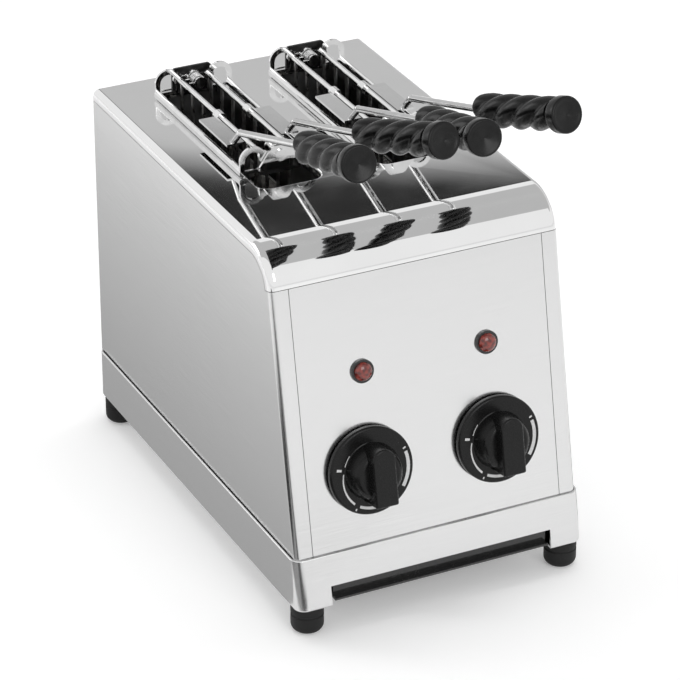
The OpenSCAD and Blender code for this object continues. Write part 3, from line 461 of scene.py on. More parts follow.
tight_z = top_h - wide_r + (wide_r - tight_r)*cos(wide_turn) - slope_l*sin(wide_turn)
bend_end_z = tight_z + tight_r*sin(lean)
tight_y = front_y(bend_end_z) + tight_r*cos(lean)
flat_front_y = tight_y + (wide_r - tight_r)*sin(wide_turn) + slope_l*cos(wide_turn)
seam_z = bend_end_z - cover_strip*cos(lean)
print("cover bends from y", round(flat_front_y, 4), "to the seam at height", round(seam_z, 4))

# %% [markdown]
# ## Polished top cover
# The cover is one sheet that runs flat from the rear, bends down over the front in two curves,
# and has rounded side edges. It is drawn as a section carried along that line. The flat is
# filled round the two slots, whose rims roll down into collars. A mirror shows every fault of
# its mesh, so the bends have many steps and the flat has none.

# %% Skin of the cover
def cover_stations(steps=20):
    line = [((rear_y, top_h), (0.0, 1.0))]
    for i in range(steps + 1):
        t = wide_turn*i/steps
        line.append(((flat_front_y - wide_r*sin(t), top_h - wide_r + wide_r*cos(t)), (-sin(t), cos(t))))
    for i in range(steps + 1):
        t = wide_turn + (pi/2 - lean - wide_turn)*i/steps
        line.append(((tight_y - tight_r*sin(t), tight_z + tight_r*cos(t)), (-sin(t), cos(t))))
    line.append(((front_y(seam_z), seam_z), (-cos(lean), sin(lean))))
    return line


def slot_ring(middle_x, grow, steps=8):
    """Outline of a slot, grown outward on all sides."""
    ring = []
    radius = slot_r + grow
    x, y = slot_w/2 - slot_r, slot_l/2 - slot_r
    for k, (sx, sy) in enumerate(((1, 1), (-1, 1), (-1, -1), (1, -1))):
        ring += arc(middle_x + sx*x, slot_y + sy*y, radius, 90*k, 90*k + 90, steps)
    return ring


def edge_loop(bm, ring):
    """Edges of a closed ring of points; one that is missing is made."""
    return [bm.edges.get(pair) or bm.edges.new(pair) for pair in zip(ring, ring[1:] + ring[:1])]


def cover_skin():
    bm = bmesh.new()
    left = [(-half_w, -cover_lip)] + arc(-half_w + cover_edge, -cover_edge, cover_edge, 180, 90, 8)
    section = left + [(-x, h) for x, h in reversed(left)]
    rows = [[bm.verts.new((x, place[0] + h*normal[0], place[1] + h*normal[1])) for x, h in section]
            for place, normal in cover_stations()]
    flat_column = len(left) - 1
    for i in range(len(rows) - 1):
        for k in range(len(section) - 1):
            if (i, k) != (0, flat_column):
                bm.faces.new((rows[i][k], rows[i][k + 1], rows[i + 1][k + 1], rows[i + 1][k]))
    rear_edge, bend_edge = (row[flat_column:flat_column + 2] for row in rows[:2])
    rim = edge_loop(bm, rear_edge + bend_edge[::-1])
    roll, collar_h = 0.0016, 0.0072
    collar = [(roll*(1 - sin(t)), -roll*(1 - cos(t))) for t in (radians(90*i/6) for i in range(7))]
    collar.append((0, -collar_h))
    for side in (-1, 1):
        rings = []
        for grown, h in collar:
            rings.append([bm.verts.new((x, y, top_h + h)) for x, y in slot_ring(side*slot_x, grown)])
        skin_rings(bm, rings)
        rim += edge_loop(bm, rings[0])
    bmesh.ops.triangle_fill(bm, use_beauty=True, edges=rim)
    bmesh.ops.recalc_face_normals(bm, faces=bm.faces)
    level = 0.999
    flats = [f for f in bm.faces if abs(f.normal.z) > level]
    if sum(f.normal.z*f.calc_area() for f in flats) < 0:
        bmesh.ops.reverse_faces(bm, faces=bm.faces)
    mesh = bpy.data.meshes.new("polished_cover")
    bm.to_mesh(mesh)
    bm.free()
    return mesh


cover = loose("polished_cover", cover_skin())
give_thickness(cover, sheet)
even_shading(cover)
fit_piece(cover, "mirror_steel", "housing", "top_cover")
print("cover has", len(cover.data.polygons), "faces")

# %% [markdown]
# ## Satin side panels
# Each side is a sheet cut to follow the cover's lip and folded round to the front with a small
# radius. The flat is a single face and the fold a strip of narrow ones, which keeps the long
# edge smooth where the light runs along it.

# %% Side panels
edge_r, front_fold = 0.0045, 0.013
skirt_r, skirt_wall, skirt_clear = 0.008, 0.0016, 0.0003
skirt_clear_z = skirt_high.z + skirt_clear


def below_seam(depth):
    """Place under the cover's seam, a depth behind the front's face."""
    return (front_y(seam_z) + depth*cos(lean) - seam*sin(lean), seam_z - depth*sin(lean) - seam*cos(lean))


def side_skin(side):
    bm = bmesh.new()
    under = cover_lip + seam
    edge = [(p[0] - n[0]*under, p[1] - n[1]*under) for p, n in cover_stations()[:-1]]
    edge += [below_seam(under), below_seam(edge_r), (front_y(panel_z) + edge_r/cos(lean), panel_z)]
    edge += [(rear_y - skirt_r/2, panel_z), (rear_y - skirt_r/2, skirt_clear_z), (rear_y, skirt_clear_z)]
    bm.faces.new([bm.verts.new((side*half_w, y, z)) for y, z in edge])
    fold = [(edge_r - edge_r*cos(t), edge_r - edge_r*sin(t)) for t in (radians(90*i/10) for i in range(11))]
    fold.append((front_fold, 0))
    strip = []
    for inward, depth in fold:
        x = side*(half_w - inward)
        low_end = (x, front_y(panel_z) + depth/cos(lean), panel_z)
        strip.append((bm.verts.new((x, *below_seam(depth))), bm.verts.new(low_end)))
    for a, b in zip(strip, strip[1:]):
        bm.faces.new((a[0], a[1], b[1], b[0]))
    mesh = as_mesh(bm, "satin_side")
    largest = max(mesh.polygons, key=lambda face: face.area)
    if largest.normal.x*side < 0:
        mesh.flip_normals()
    return mesh


for side, word in SIDES:
    panel = loose(f"{word}_satin_side", side_skin(side))
    give_thickness(panel, sheet)
    even_shading(panel)
    fit_piece(panel, "satin_steel", "housing", f"{word}_side_panel")
print("two side panels")

# %% [markdown]
# ## Skirt
# The base is a pressed skirt that stands a little proud of the panels, with rounded corners, a
# rolled upper rim and a flange underneath. It is a stack of rings that follow the leaning front,
# and a Boolean cuts the mouth for the crumb tray.

# %% Skirt
def skirt_ring(bm, inset, z, steps=10):
    least_r = 0.001
    radius = max(skirt_r - inset, least_r)
    x = skirt_high.x - inset - radius
    front = skirt_front(z) + inset + radius
    rear = skirt_high.y - inset - radius
    ring = []
    for k, (sx, y) in enumerate(((1, rear), (-1, rear), (-1, front), (1, front))):
        ring += arc(sx*x, y, radius, 90*k, 90*k + 90, steps)
    return [bm.verts.new((px, py, z)) for px, py in ring]


def skirt_shell():
    bm = bmesh.new()
    flange, foot_roll, rim = 0.030, 0.0015, skirt_wall/2
    wall = [(flange, foot_h)]
    wall += [(foot_roll - across, foot_h + foot_roll - up) for across, up in arc(0, 0, foot_roll, 90, 0, 5)]
    wall += [(rim - across, skirt_high.z - rim + up) for across, up in arc(0, 0, rim, 0, 180, 8)]
    wall += [(skirt_wall, foot_h + skirt_wall), (flange, foot_h + skirt_wall)]
    rings = [skirt_ring(bm, inset, z) for inset, z in wall]
    skin_rings(bm, rings + rings[:1])
    return as_mesh(bm, "pressed_skirt")


def block(name, low, high):
    bm = bmesh.new()
    bmesh.ops.create_cube(bm, size=1)
    spot = Matrix.Translation((Vector(low) + Vector(high))/2)
    bm.transform(spot @ Matrix.Diagonal((*(Vector(high) - Vector(low)), 1)))
    return loose(name, as_mesh(bm, name))


skirt = loose("pressed_skirt", skirt_shell())
mouth_w, mouth_depth, mouth_h = 0.169, 0.032, 0.0145
cut_ahead, cut_below = 0.01, 0.001
mouth = block("tray_mouth", (-mouth_w/2, skirt_low.y - cut_ahead, foot_h - cut_below),
              (mouth_w/2, skirt_low.y + mouth_depth, foot_h + mouth_h))
cut = skirt.modifiers.new("tray_mouth", "BOOLEAN")
cut.object = mouth
cut.operation = "DIFFERENCE"
settle(skirt)
bpy.data.objects.remove(mouth)
even_shading(skirt, 40)
fit_piece(skirt, "satin_steel", "housing", "base_skirt")
print("skirt has", len(skirt.data.polygons), "faces")

# %% [markdown]
# ## Placing what repeats
# Feet and screws are one shape set down several times. Geometry Nodes does that well: a mesh of
# bare points says where, an Object Info node brings in the shape, and Realize Instances turns
# the copies into ordinary mesh so that an export keeps them.

# %% Tree that sets a shape on points
def new_tree(name, inputs):
    """Geometry tree with named inputs; returns the tree and its input sockets."""
    tree = bpy.data.node_groups.new(name, "GeometryNodeTree")
    tree.interface.new_socket("Geometry", in_out="OUTPUT", socket_type="NodeSocketGeometry")
    for label, kind in inputs.items():
        tree.interface.new_socket(label, in_out="INPUT", socket_type=f"NodeSocket{kind}")
    return tree, tree.nodes.new("NodeGroupInput").outputs


def close_tree(tree, shapes, material):
    joined = add_node(tree, "GeometryNodeJoinGeometry")
    for shape in shapes:
        tree.links.new(shape, joined.inputs[0])
    real = add_node(tree, "GeometryNodeRealizeInstances", {0: joined.outputs[0]})
    dressed = add_node(tree, "GeometryNodeSetMaterial", {"Geometry": real.outputs[0], "Material": material})
    tree.links.new(dressed.outputs[0], tree.nodes.new("NodeGroupOutput").inputs[0])
    return tree


def grow(name, tree, values, base=None):
    """Object made by a tree: its inputs are set by identifier, then it is baked."""
    piece = loose(name, base or bpy.data.meshes.new(name))
    nodes = piece.modifiers.new(tree.name, "NODES")
    nodes.node_group = tree
    for item in tree.interface.items_tree:
        if item.in_out == "INPUT" and item.name in values:
            nodes[item.identifier] = values[item.name]
    settle(piece)
    shade(piece.data, 40)
    return piece


def points_mesh(name, places):
    mesh = bpy.data.meshes.new(name)
    mesh.from_pydata([tuple(p) for p in places], [], [])
    return mesh


def set_on_points():
    tree, given = new_tree("set_on_points", {
        "Geometry": "Geometry", "Shape": "Object", "Material": "Material"})
    shape = add_node(tree, "GeometryNodeObjectInfo", {"Object": given["Shape"], "As Instance": True})
    copies = add_node(tree, "GeometryNodeInstanceOnPoints",
                      {"Points": given["Geometry"], "Instance": shape.outputs["Geometry"]})
    return close_tree(tree, [copies.outputs[0]], given["Material"])


placing = set_on_points()
print("tree:", placing.name)

# %% [markdown]
# ## Rubber feet
# Four moulded feet carry the skirt. The foot is turned from a profile with a rounded sole, a
# shallow groove and a recess for its bolt, then placed four times.

# %% Rubber feet
foot_dia, foot_inset, foot_edge, sole_r = 0.023, 0.012, 0.0012, 0.0055
groove_low, groove_high, groove_lip, groove_depth = 0.0125, 0.0145, 0.0005, 0.0006
recess_r, recess_h, recess_edge, bolt_r = 0.0043, 0.009, 0.0008, 0.0023


def foot_shape():
    radius, groove_r = foot_dia/2, foot_dia/2 - groove_depth
    profile = [(recess_r, foot_h), (radius - foot_edge, foot_h)]
    profile += arc(radius - foot_edge, foot_h - foot_edge, foot_edge, 90, 0)
    profile += [(radius, groove_high), (groove_r, groove_high - groove_lip)]
    profile += [(groove_r, groove_low + groove_lip), (radius, groove_low)]
    profile += arc(radius - sole_r, sole_r, sole_r, 0, -90, 10)
    profile += arc(recess_r + recess_edge, recess_edge, recess_edge, -90, -180, 3)
    profile += [(recess_r, recess_h), (bolt_r, recess_h), (bolt_r, foot_h), (recess_r, foot_h)]
    bm = bmesh.new()
    lathe(bm, profile, Matrix.Identity(4), 48)
    return loose("foot_shape", as_mesh(bm, "foot_shape"))


foot = foot_shape()
foot_x = skirt_high.x - foot_inset
foot_rows = (skirt_low.y + foot_inset, skirt_high.y - foot_inset)
foot_places = [(x, y, 0) for x in (-foot_x, foot_x) for y in foot_rows]
feet = grow("moulded_feet", placing, {"Shape": foot, "Material": finishes["foot_rubber"]},
            points_mesh("foot_places", foot_places))
bpy.data.objects.remove(foot)
fit_piece(feet, "foot_rubber", "housing", "rubber_feet")
print("feet:", len(foot_places))

# %% [markdown]
# ## Timer knobs
# Each knob is one black moulding: a dial with a rounded rim, a domed boss and a grip bar, round
# at its upper end and cut square at its lower one. The dial and boss are turned. The bar is an
# outline drawn up to its height and rounded with Bevel.

# %% Timer knobs
knob_x, knob_z = 0.0485, 0.109
dial_r, dial_low, dial_high, dial_foot, dial_round = 0.031, 0.0015, 0.0065, 0.0006, 0.0018
boss_r, boss_h, boss_taper, boss_fillet, boss_round = 0.020, 0.013, 0.002, 0.0012, 0.005
shaft_r, well_r, well_h = 0.0031, 0.010, 0.004
bar_w, bar_up, bar_down, bar_h, bar_sunk, bar_round = 0.017, 0.021, 0.020, 0.021, 0.001, 0.0016


def knob_turning(place):
    bm = bmesh.new()
    profile = [(shaft_r, dial_low + well_h), (well_r, dial_low + well_h), (well_r, dial_low)]
    profile += [(dial_r - dial_foot, dial_low)]
    profile += arc(dial_r - dial_foot, dial_low + dial_foot, dial_foot, -90, 0, 3)
    profile += arc(dial_r - dial_round, dial_high - dial_round, dial_round, 0, 90)
    fillet_r = boss_r + boss_fillet
    for turn in (0, pi/8, pi/4, pi/2):
        profile.append((fillet_r - boss_fillet*sin(turn), dial_high + boss_fillet*(1 - cos(turn))))
    crown_r = boss_r - boss_taper - boss_round
    profile += arc(crown_r, dial_high + boss_h - boss_round, boss_round, 10, 90, 8)
    profile += [(0, dial_high + boss_h)]
    lathe(bm, profile, place, 96)
    return as_mesh(bm, "knob_turning")


def knob_bar(place):
    bm = bmesh.new()
    outline = [(-bar_w/2, -bar_down), (bar_w/2, -bar_down)]
    outline += arc(0, bar_up - bar_w/2, bar_w/2, 0, 180, 20)
    foot_face = bm.faces.new([bm.verts.new((x, y, dial_high - bar_sunk)) for x, y in outline])
    raised = bmesh.ops.extrude_face_region(bm, geom=[foot_face])["geom"]
    lift = [v for v in raised if isinstance(v, bmesh.types.BMVert)]
    bmesh.ops.translate(bm, verts=lift, vec=(0, 0, bar_h + bar_sunk))
    bar = loose("knob_bar", as_mesh(bm, "knob_bar"))
    round_edges(bar, bar_round, 4, 40)
    bar.data.transform(place)
    return bar


def join_meshes(name, meshes):
    bm = bmesh.new()
    for mesh in meshes:
        bm.from_mesh(mesh)
    mesh = bpy.data.meshes.new(name)
    bm.to_mesh(mesh)
    bm.free()
    return mesh


for side, word in SIDES:
    place = on_front(side*knob_x, knob_z)
    bar = knob_bar(place)
    knob = loose(f"{word}_moulded_knob", join_meshes("moulded_knob", [knob_turning(place), bar.data]))
    bpy.data.objects.remove(bar)
    even_shading(knob, 32)
    fit_piece(knob, "knob_black", f"{word}_knob", f"{word}_knob")
print("two knobs")

# %% [markdown]
# ## Dial print
# White marks are printed on the dial: a rest mark, a scale that widens as the time grows, and
# short ticks. Each is a narrow strip along an arc, laid just above the plastic, with its own
# start, end, radius and width.

# %% Dial print
# clock angles in degrees from 12 at the start and end, then both radii and both widths in millimetres
DIAL_MARKS = [
    (281, 285, 25.0, 25.0, 3.6, 3.6),
    (290, 312, 21.0, 21.0, 0.9, 1.0),
    (276, 216, 21.4, 25.4, 0.8, 1.5),
    (206, 178, 25.8, 26.2, 1.9, 2.1),
    (211, 209, 28.6, 28.6, 1.6, 1.6),
    (72, 126, 27.0, 27.0, 2.4, 2.6),
    (65, 67.5, 27.2, 27.2, 2.2, 2.2),
]
millimetre = 0.001
ink_top, ink_foot, ink_step = 0.05, -0.2, 3


def mark_ring(bm, place, turn, radius, width):
    """Four corners of a mark's section at one angle of the dial."""
    inner, outer = radius - width/2, radius + width/2
    ring = []
    for r, h in ((inner, ink_top), (outer, ink_top), (outer, ink_foot), (inner, ink_foot)):
        spot = Vector((r*cos(turn), r*sin(turn), h))*millimetre
        ring.append(bm.verts.new(place @ (spot + Vector((0, 0, dial_high)))))
    return ring


def dial_print(place):
    bm = bmesh.new()
    for start, end, radius_a, radius_b, width_a, width_b in DIAL_MARKS:
        steps = max(2, ceil(abs(end - start)/ink_step))
        rings = []
        for i in range(steps + 1):
            t = i/steps
            turn = radians(90 - start - (end - start)*t)
            radius = radius_a + (radius_b - radius_a)*t
            width = width_a + (width_b - width_a)*t
            rings.append(mark_ring(bm, place, turn, radius, width))
        skin_rings(bm, rings)
        bm.faces.new(rings[0])
        bm.faces.new(rings[-1])
    return as_mesh(bm, "dial_print")


for side, word in SIDES:
    marks = loose(f"{word}_dial_print", dial_print(on_front(side*knob_x, knob_z)))
    marks.data.materials.append(dial_white)
    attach(marks, f"{word}_knob")
print("marks on each dial:", len(DIAL_MARKS))

# %% [markdown]
# ## Indicator lenses
# The two red lenses are low domes, grained inside so that they break the light up. A turned dome
# gives the shape, and the coarse noise in the finish gives its relief.

# %% Indicator lenses
lamp_x, lamp_z, lens_r = 0.047, 0.177, 0.0065


def lens_shape(bm, place):
    low, dome = 0.0022, 0.0034
    profile = [(lens_r, 0.0), (lens_r, low)]
    profile += [(lens_r*cos(t), low + dome*sin(t)) for t in (radians(a) for a in range(8, 90, 8))]
    profile.append((0, low + dome))
    lathe(bm, profile, place, 40)


bm = bmesh.new()
for side in (-1, 1):
    lens_shape(bm, on_front(side*lamp_x, lamp_z))
lenses = loose("domed_lenses", as_mesh(bm, "domed_lenses"))
even_shading(lenses, 50)
fit_piece(lenses, "lens_red", "housing", "indicator_lenses")
print("two lenses")

# %% [markdown]
# ## Twisted grips
# The tongs end in black grips moulded as three rounded lobes twisted along their length, and a
# smooth cap. The lobes follow a rule, so Geometry Nodes draws them: a plain tube of many rings,
# each point of which is moved out to the radius that the lobes have at its angle and height.

# %% Tree of the twisted grip
def twisted_grip_tree(sides=96, rings=110):
    tree, given = new_tree("twisted_grip", {
        "Length": "Float", "Diameter": "Float", "Lobes": "Int", "Groove": "Float", "Twist": "Float",
        "Round End": "Float", "Material": "Material"})

    def calc(operation, a, b=0.0):
        return compute(tree, operation, a, b)

    tube = add_node(tree, "GeometryNodeMeshCylinder",
                    {"Vertices": sides, "Side Segments": rings, "Radius": 1.0, "Depth": given["Length"]})
    middle_up = add_node(tree, "ShaderNodeCombineXYZ", {"Z": calc("DIVIDE", given["Length"], 2.0)})
    tube = add_node(tree, "GeometryNodeTransform",
                    {"Geometry": tube.outputs["Mesh"], "Translation": middle_up.outputs[0]})
    position = add_node(tree, "GeometryNodeInputPosition").outputs[0]
    spot = add_node(tree, "ShaderNodeSeparateXYZ", {0: position}).outputs
    flat = calc("SQRT", calc("ADD", calc("POWER", spot[0], 2.0), calc("POWER", spot[1], 2.0)))
    turn = calc("ARCTAN2", spot[1], spot[0])
    along = calc("DIVIDE", spot[2], given["Length"])
    wound = calc("SUBTRACT", turn, calc("MULTIPLY", along, given["Twist"]))
    half_lobe = calc("MULTIPLY", wound, calc("DIVIDE", given["Lobes"], 2.0))
    crest = calc("ABSOLUTE", calc("COSINE", half_lobe))
    sunk = calc("MULTIPLY", given["Groove"], calc("SUBTRACT", 1.0, crest))
    radius = calc("SUBTRACT", calc("DIVIDE", given["Diameter"], 2.0), sunk)
    near = add_node(tree, "ShaderNodeMapRange",
                    {"Value": spot[2], "From Max": given["Round End"], "To Min": 1.0, "To Max": 0.0})
    end = calc("SQRT", calc("SUBTRACT", 1.0, calc("POWER", near.outputs[0], 2.5)))
    radius = calc("MULTIPLY", calc("MULTIPLY", radius, flat), end)
    moved = add_node(tree, "ShaderNodeCombineXYZ", {
        "X": calc("MULTIPLY", radius, calc("COSINE", turn)),
        "Y": calc("MULTIPLY", radius, calc("SINE", turn)), "Z": spot[2]})
    lobed = add_node(tree, "GeometryNodeSetPosition",
                     {"Geometry": tube.outputs[0], "Position": moved.outputs[0]})
    return close_tree(tree, [lobed.outputs[0]], given["Material"])


twisted_grip = twisted_grip_tree()
print("tree:", twisted_grip.name)

# %% [markdown]
# ## Where the tongs sit
# A tong hangs in each slot. Its two halves turn on rivets in the end plates, and each half has a
# rod, a rail, a toasting grid and a bracket that carries its grip. The grips splay apart and
# tilt upward, each by its own angle.

# %% Measures of the tongs
pivot_rise = 0.013
pivot_z = top_h + pivot_rise
slot_front_y = slot_y - slot_l/2
rod_x, rod_dia = 0.0114, 0.004
leaf_gap, leaf_w = 0.0008, 0.013
leaf_mid = rod_x + rod_dia/2 + leaf_gap + leaf_w/2
grip_ahead, grip_above = 0.063, 0.0455
grip_l, grip_dia, cap_dia, cap_l = 0.096, 0.0235, 0.025, 0.011
GRIP_TURNS = {-1: (radians(16.4), radians(3.6)), 1: (radians(18.4), radians(9.2))}


def grip_place(side, half):
    """Frame of a grip: local Z runs along it from the bracket to the cap."""
    tilt, splay = GRIP_TURNS[half]
    way = Vector((half*cos(tilt)*sin(splay), -cos(tilt)*cos(splay), sin(tilt)))
    start = Vector((side*slot_x + half*leaf_mid, slot_front_y - grip_ahead, pivot_z + grip_above))
    spin = Matrix.Rotation(atan2(way.y, way.x), 4, "Z") @ Matrix.Rotation(acos(way.z), 4, "Y")
    return Matrix.Translation(start) @ spin


print("tong pivots at height", round(pivot_z, 4))

# %% Grips
def cap_shape(place):
    low, radius, face = grip_l - cap_l, cap_dia/2, grip_l
    # the neck steps in from the rim above the cap's foot, the dish steps in below its face
    neck = [(0.0035, -0.001), (0.002, 0.0), (0.0006, 0.0022), (0.0, 0.0038)]
    cap_edge = 0.0014
    dish = [(0.0026, 0.0003), (0.0045, 0.0009)]
    dimple = [(0.002, 0.0009), (0.0012, 0.0013), (0.0, 0.0014)]
    profile = [(0, low + neck[0][1])]
    profile += [(radius - inset, low + rise) for inset, rise in neck]
    profile += arc(radius - cap_edge, face - cap_edge, cap_edge, 0, 90)
    profile += [(radius - inset, face - sunk) for inset, sunk in dish]
    profile += [(across, face - sunk) for across, sunk in dimple]
    bm = bmesh.new()
    lathe(bm, profile, place, 72)
    return as_mesh(bm, "grip_cap")


lobe_values = {
    "Length": grip_l - cap_l, "Diameter": grip_dia, "Lobes": 3, "Groove": 0.0026, "Twist": -radians(480),
    "Round End": 0.006, "Material": finishes["grip_black"]}
for side, tong in SIDES:
    for half, word in SIDES:
        lobes = grow("grip_lobes", twisted_grip, lobe_values)
        place = grip_place(side, half)
        lobes.data.transform(place)
        mesh = join_meshes("twisted_grip", [lobes.data, cap_shape(place)])
        bpy.data.objects.remove(lobes)
        shade(mesh, 60)
        grip = loose(f"{tong}_{word}_twisted_grip", mesh)
        fit_piece(grip, "grip_black", f"{tong}_tong_{word}_half", f"{tong}_tong_{word}_grip")
print("four grips")

# %% [markdown]
# ## Wire grids and heater guards
# The toasting grids and the guards in front of the heaters are both upright wires crossed by
# bars. One Geometry Nodes tree makes them: two rows of points, a thin cylinder on each, and a
# third row for the small hooks that keep the bread from sliding out.

# %% Tree of a wire grille
def wire_grille_tree():
    tree, given = new_tree("wire_grille", {
        "Uprights": "Int", "Pitch": "Float", "Height": "Float", "Wire": "Float", "Bars": "Int",
        "Bar Rise": "Float", "Bar Length": "Float", "Bar Start": "Float", "Hooks": "Int",
        "Hook Start": "Float", "Hook Reach": "Float", "Material": "Material"})

    def along(axis, length):
        return add_node(tree, "ShaderNodeCombineXYZ", {axis: length}).outputs[0]

    def half_of(length):
        return compute(tree, "DIVIDE", length, 2.0)

    def row(count, start, step, length, turn, middle):
        line = add_node(tree, "GeometryNodeMeshLine",
                        {"Count": count, "Start Location": start, "Offset": step})
        bar = add_node(tree, "GeometryNodeMeshCylinder",
                       {"Vertices": 12, "Radius": half_of(given["Wire"]), "Depth": length})
        bar = add_node(tree, "GeometryNodeTransform",
                       {"Geometry": bar.outputs["Mesh"], "Translation": middle, "Rotation": turn})
        copies = add_node(tree, "GeometryNodeInstanceOnPoints",
                          {"Points": line.outputs[0], "Instance": bar.outputs[0]})
        return copies.outputs[0]

    uprights = row(given["Uprights"], (0, 0, 0), along("Y", given["Pitch"]), given["Height"], (0, 0, 0),
                   along("Z", half_of(given["Height"])))
    bars = row(given["Bars"], along("Y", given["Bar Start"]), along("Z", given["Bar Rise"]),
               given["Bar Length"], (pi/2, 0, 0), along("Y", half_of(given["Bar Length"])))
    hook_step = along("Y", compute(tree, "MULTIPLY", given["Pitch"], 2.0))
    reach = compute(tree, "ABSOLUTE", given["Hook Reach"])
    hooks = row(given["Hooks"], along("Y", given["Hook Start"]), hook_step, reach, (0, pi/2, 0),
                along("X", half_of(given["Hook Reach"])))
    return close_tree(tree, [uprights, bars, hooks], given["Material"])


wire_grille = wire_grille_tree()
print("tree:", wire_grille.name)

# %% Toasting grids
grid_depth, grid_wire, grid_count, grid_end = 0.165, 0.0025, 8, 0.008
grid_ahead, grid_behind, grid_bars = 0.022, 0.012, 3
hook_count, hook_reach = 3, 0.006
grid_front_y = slot_front_y + grid_ahead + grid_end
grid_span = slot_y + slot_l/2 - grid_behind - grid_end - grid_front_y
grid_pitch = grid_span/(grid_count - 1)
for side, tong in SIDES:
    for half, word in SIDES:
        grid = grow(f"{tong}_{word}_toasting_grid", wire_grille, {
            "Uprights": grid_count, "Pitch": grid_pitch, "Height": grid_depth - rod_dia/2 + grid_wire/4,
            "Wire": grid_wire, "Bars": grid_bars, "Bar Rise": grid_depth/grid_bars,
            "Bar Length": grid_span + grid_wire, "Bar Start": -grid_wire/2, "Hooks": hook_count,
            "Hook Start": grid_pitch*(1 if half < 0 else 1.5), "Hook Reach": -half*hook_reach,
            "Material": finishes["guard_steel"]})
        corner = (side*slot_x + half*rod_x, grid_front_y, pivot_z - grid_depth)
        grid.data.transform(Matrix.Translation(corner))
        fit_piece(grid, "guard_steel", f"{tong}_tong_{word}_half", f"{tong}_tong_{word}_grid")
print("four grids of", grid_count, "wires")

# %% Heater guards
guard_off, guard_wire, guard_count, guard_past = 0.028, 0.002, 8, 0.014
tube_low_z, tube_step, bulkhead_gap = 0.140, 0.035, 0.002
guard_low_z = tube_low_z - guard_past
guard_h = 2*tube_step + 2*guard_past
guard_pitch = slot_l/guard_count
guards = []
for side in (-1, 1):
    for face in (-1, 1):
        guard = grow("heater_guard", wire_grille, {
            "Uprights": guard_count, "Pitch": guard_pitch, "Height": guard_h, "Wire": guard_wire,
            "Bars": 2, "Bar Rise": guard_h, "Bar Length": slot_l + 2*bulkhead_gap,
            "Bar Start": -bulkhead_gap - guard_pitch/2, "Hooks": 0, "Material": finishes["guard_steel"]})
        corner = (side*slot_x + face*guard_off, slot_front_y + guard_pitch/2, guard_low_z)
        guard.data.transform(Matrix.Translation(corner))
        guards.append(guard)
guard_set = loose("wire_guards", join_meshes("wire_guards", [g.data for g in guards]))
for guard in guards:
    bpy.data.objects.remove(guard)
shade(guard_set.data, 40)
fit_piece(guard_set, "guard_steel", "housing", "guard_grilles")
print("four guards")

# %% [markdown]
# ## Heater windings
# Inside each quartz tube lies a resistance wire wound into a long coil. A spiral curve swept
# with a small circle makes one winding, and the same points as the tubes place twelve of them.

# %% Heater windings
def swept_wire(tree, path, wire, sides):
    """Round wire drawn along a curve."""
    outline = add_node(tree, "GeometryNodeCurvePrimitiveCircle",
                       {"Resolution": sides, "Radius": compute(tree, "DIVIDE", wire, 2.0)})
    swept = add_node(tree, "GeometryNodeCurveToMesh",
                     {"Curve": path, "Profile Curve": outline.outputs[0], "Fill Caps": True})
    return swept.outputs[0]


def winding_tree():
    tree, given = new_tree("heater_winding", {
        "Geometry": "Geometry", "Turns": "Float", "Radius": "Float", "Length": "Float", "Wire": "Float",
        "Material": "Material"})
    coil = add_node(tree, "GeometryNodeCurveSpiral", {
        "Resolution": 10, "Rotations": given["Turns"], "Start Radius": given["Radius"],
        "End Radius": given["Radius"], "Height": given["Length"]})
    wound = swept_wire(tree, coil.outputs[0], given["Wire"], 5)
    laid = add_node(tree, "GeometryNodeTransform", {"Geometry": wound, "Rotation": (-pi/2, 0, 0)})
    copies = add_node(tree, "GeometryNodeInstanceOnPoints",
                      {"Points": given["Geometry"], "Instance": laid.outputs[0]})
    return close_tree(tree, [copies.outputs[0]], given["Material"])


winding_past, tube_off, tube_count = 0.007, 0.035, 3
winding_l = slot_l + 2*bulkhead_gap + 2*winding_past
winding_y = slot_y - winding_l/2
winding_places = [(side*slot_x + face*tube_off, winding_y, tube_low_z + i*tube_step)
                  for side in (-1, 1) for face in (-1, 1) for i in range(tube_count)]
winding_values = {"Turns": 70.0, "Radius": 0.0026, "Length": winding_l, "Wire": 0.0008,
                  "Material": finishes["heater_wire"]}
windings = grow("heater_windings", winding_tree(), winding_values,
                points_mesh("winding_places", winding_places))
fit_piece(windings, "heater_wire", "housing", "heater_coils")
print("windings have", len(windings.data.polygons), "faces")

# %% [markdown]
# ## Tong springs
# A small torsion spring on the rear rivet holds the two grids apart. It is a wire along a path:
# a straight leg, a few turns and a second leg, swept in a Geometry Nodes tree.

# %% Tong springs
def wire_on_path_tree():
    tree, given = new_tree("wire_on_path", {
        "Geometry": "Geometry", "Wire": "Float", "Material": "Material"})
    path = add_node(tree, "GeometryNodeMeshToCurve", {"Mesh": given["Geometry"]})
    return close_tree(tree, [swept_wire(tree, path.outputs[0], given["Wire"], 12)], given["Material"])


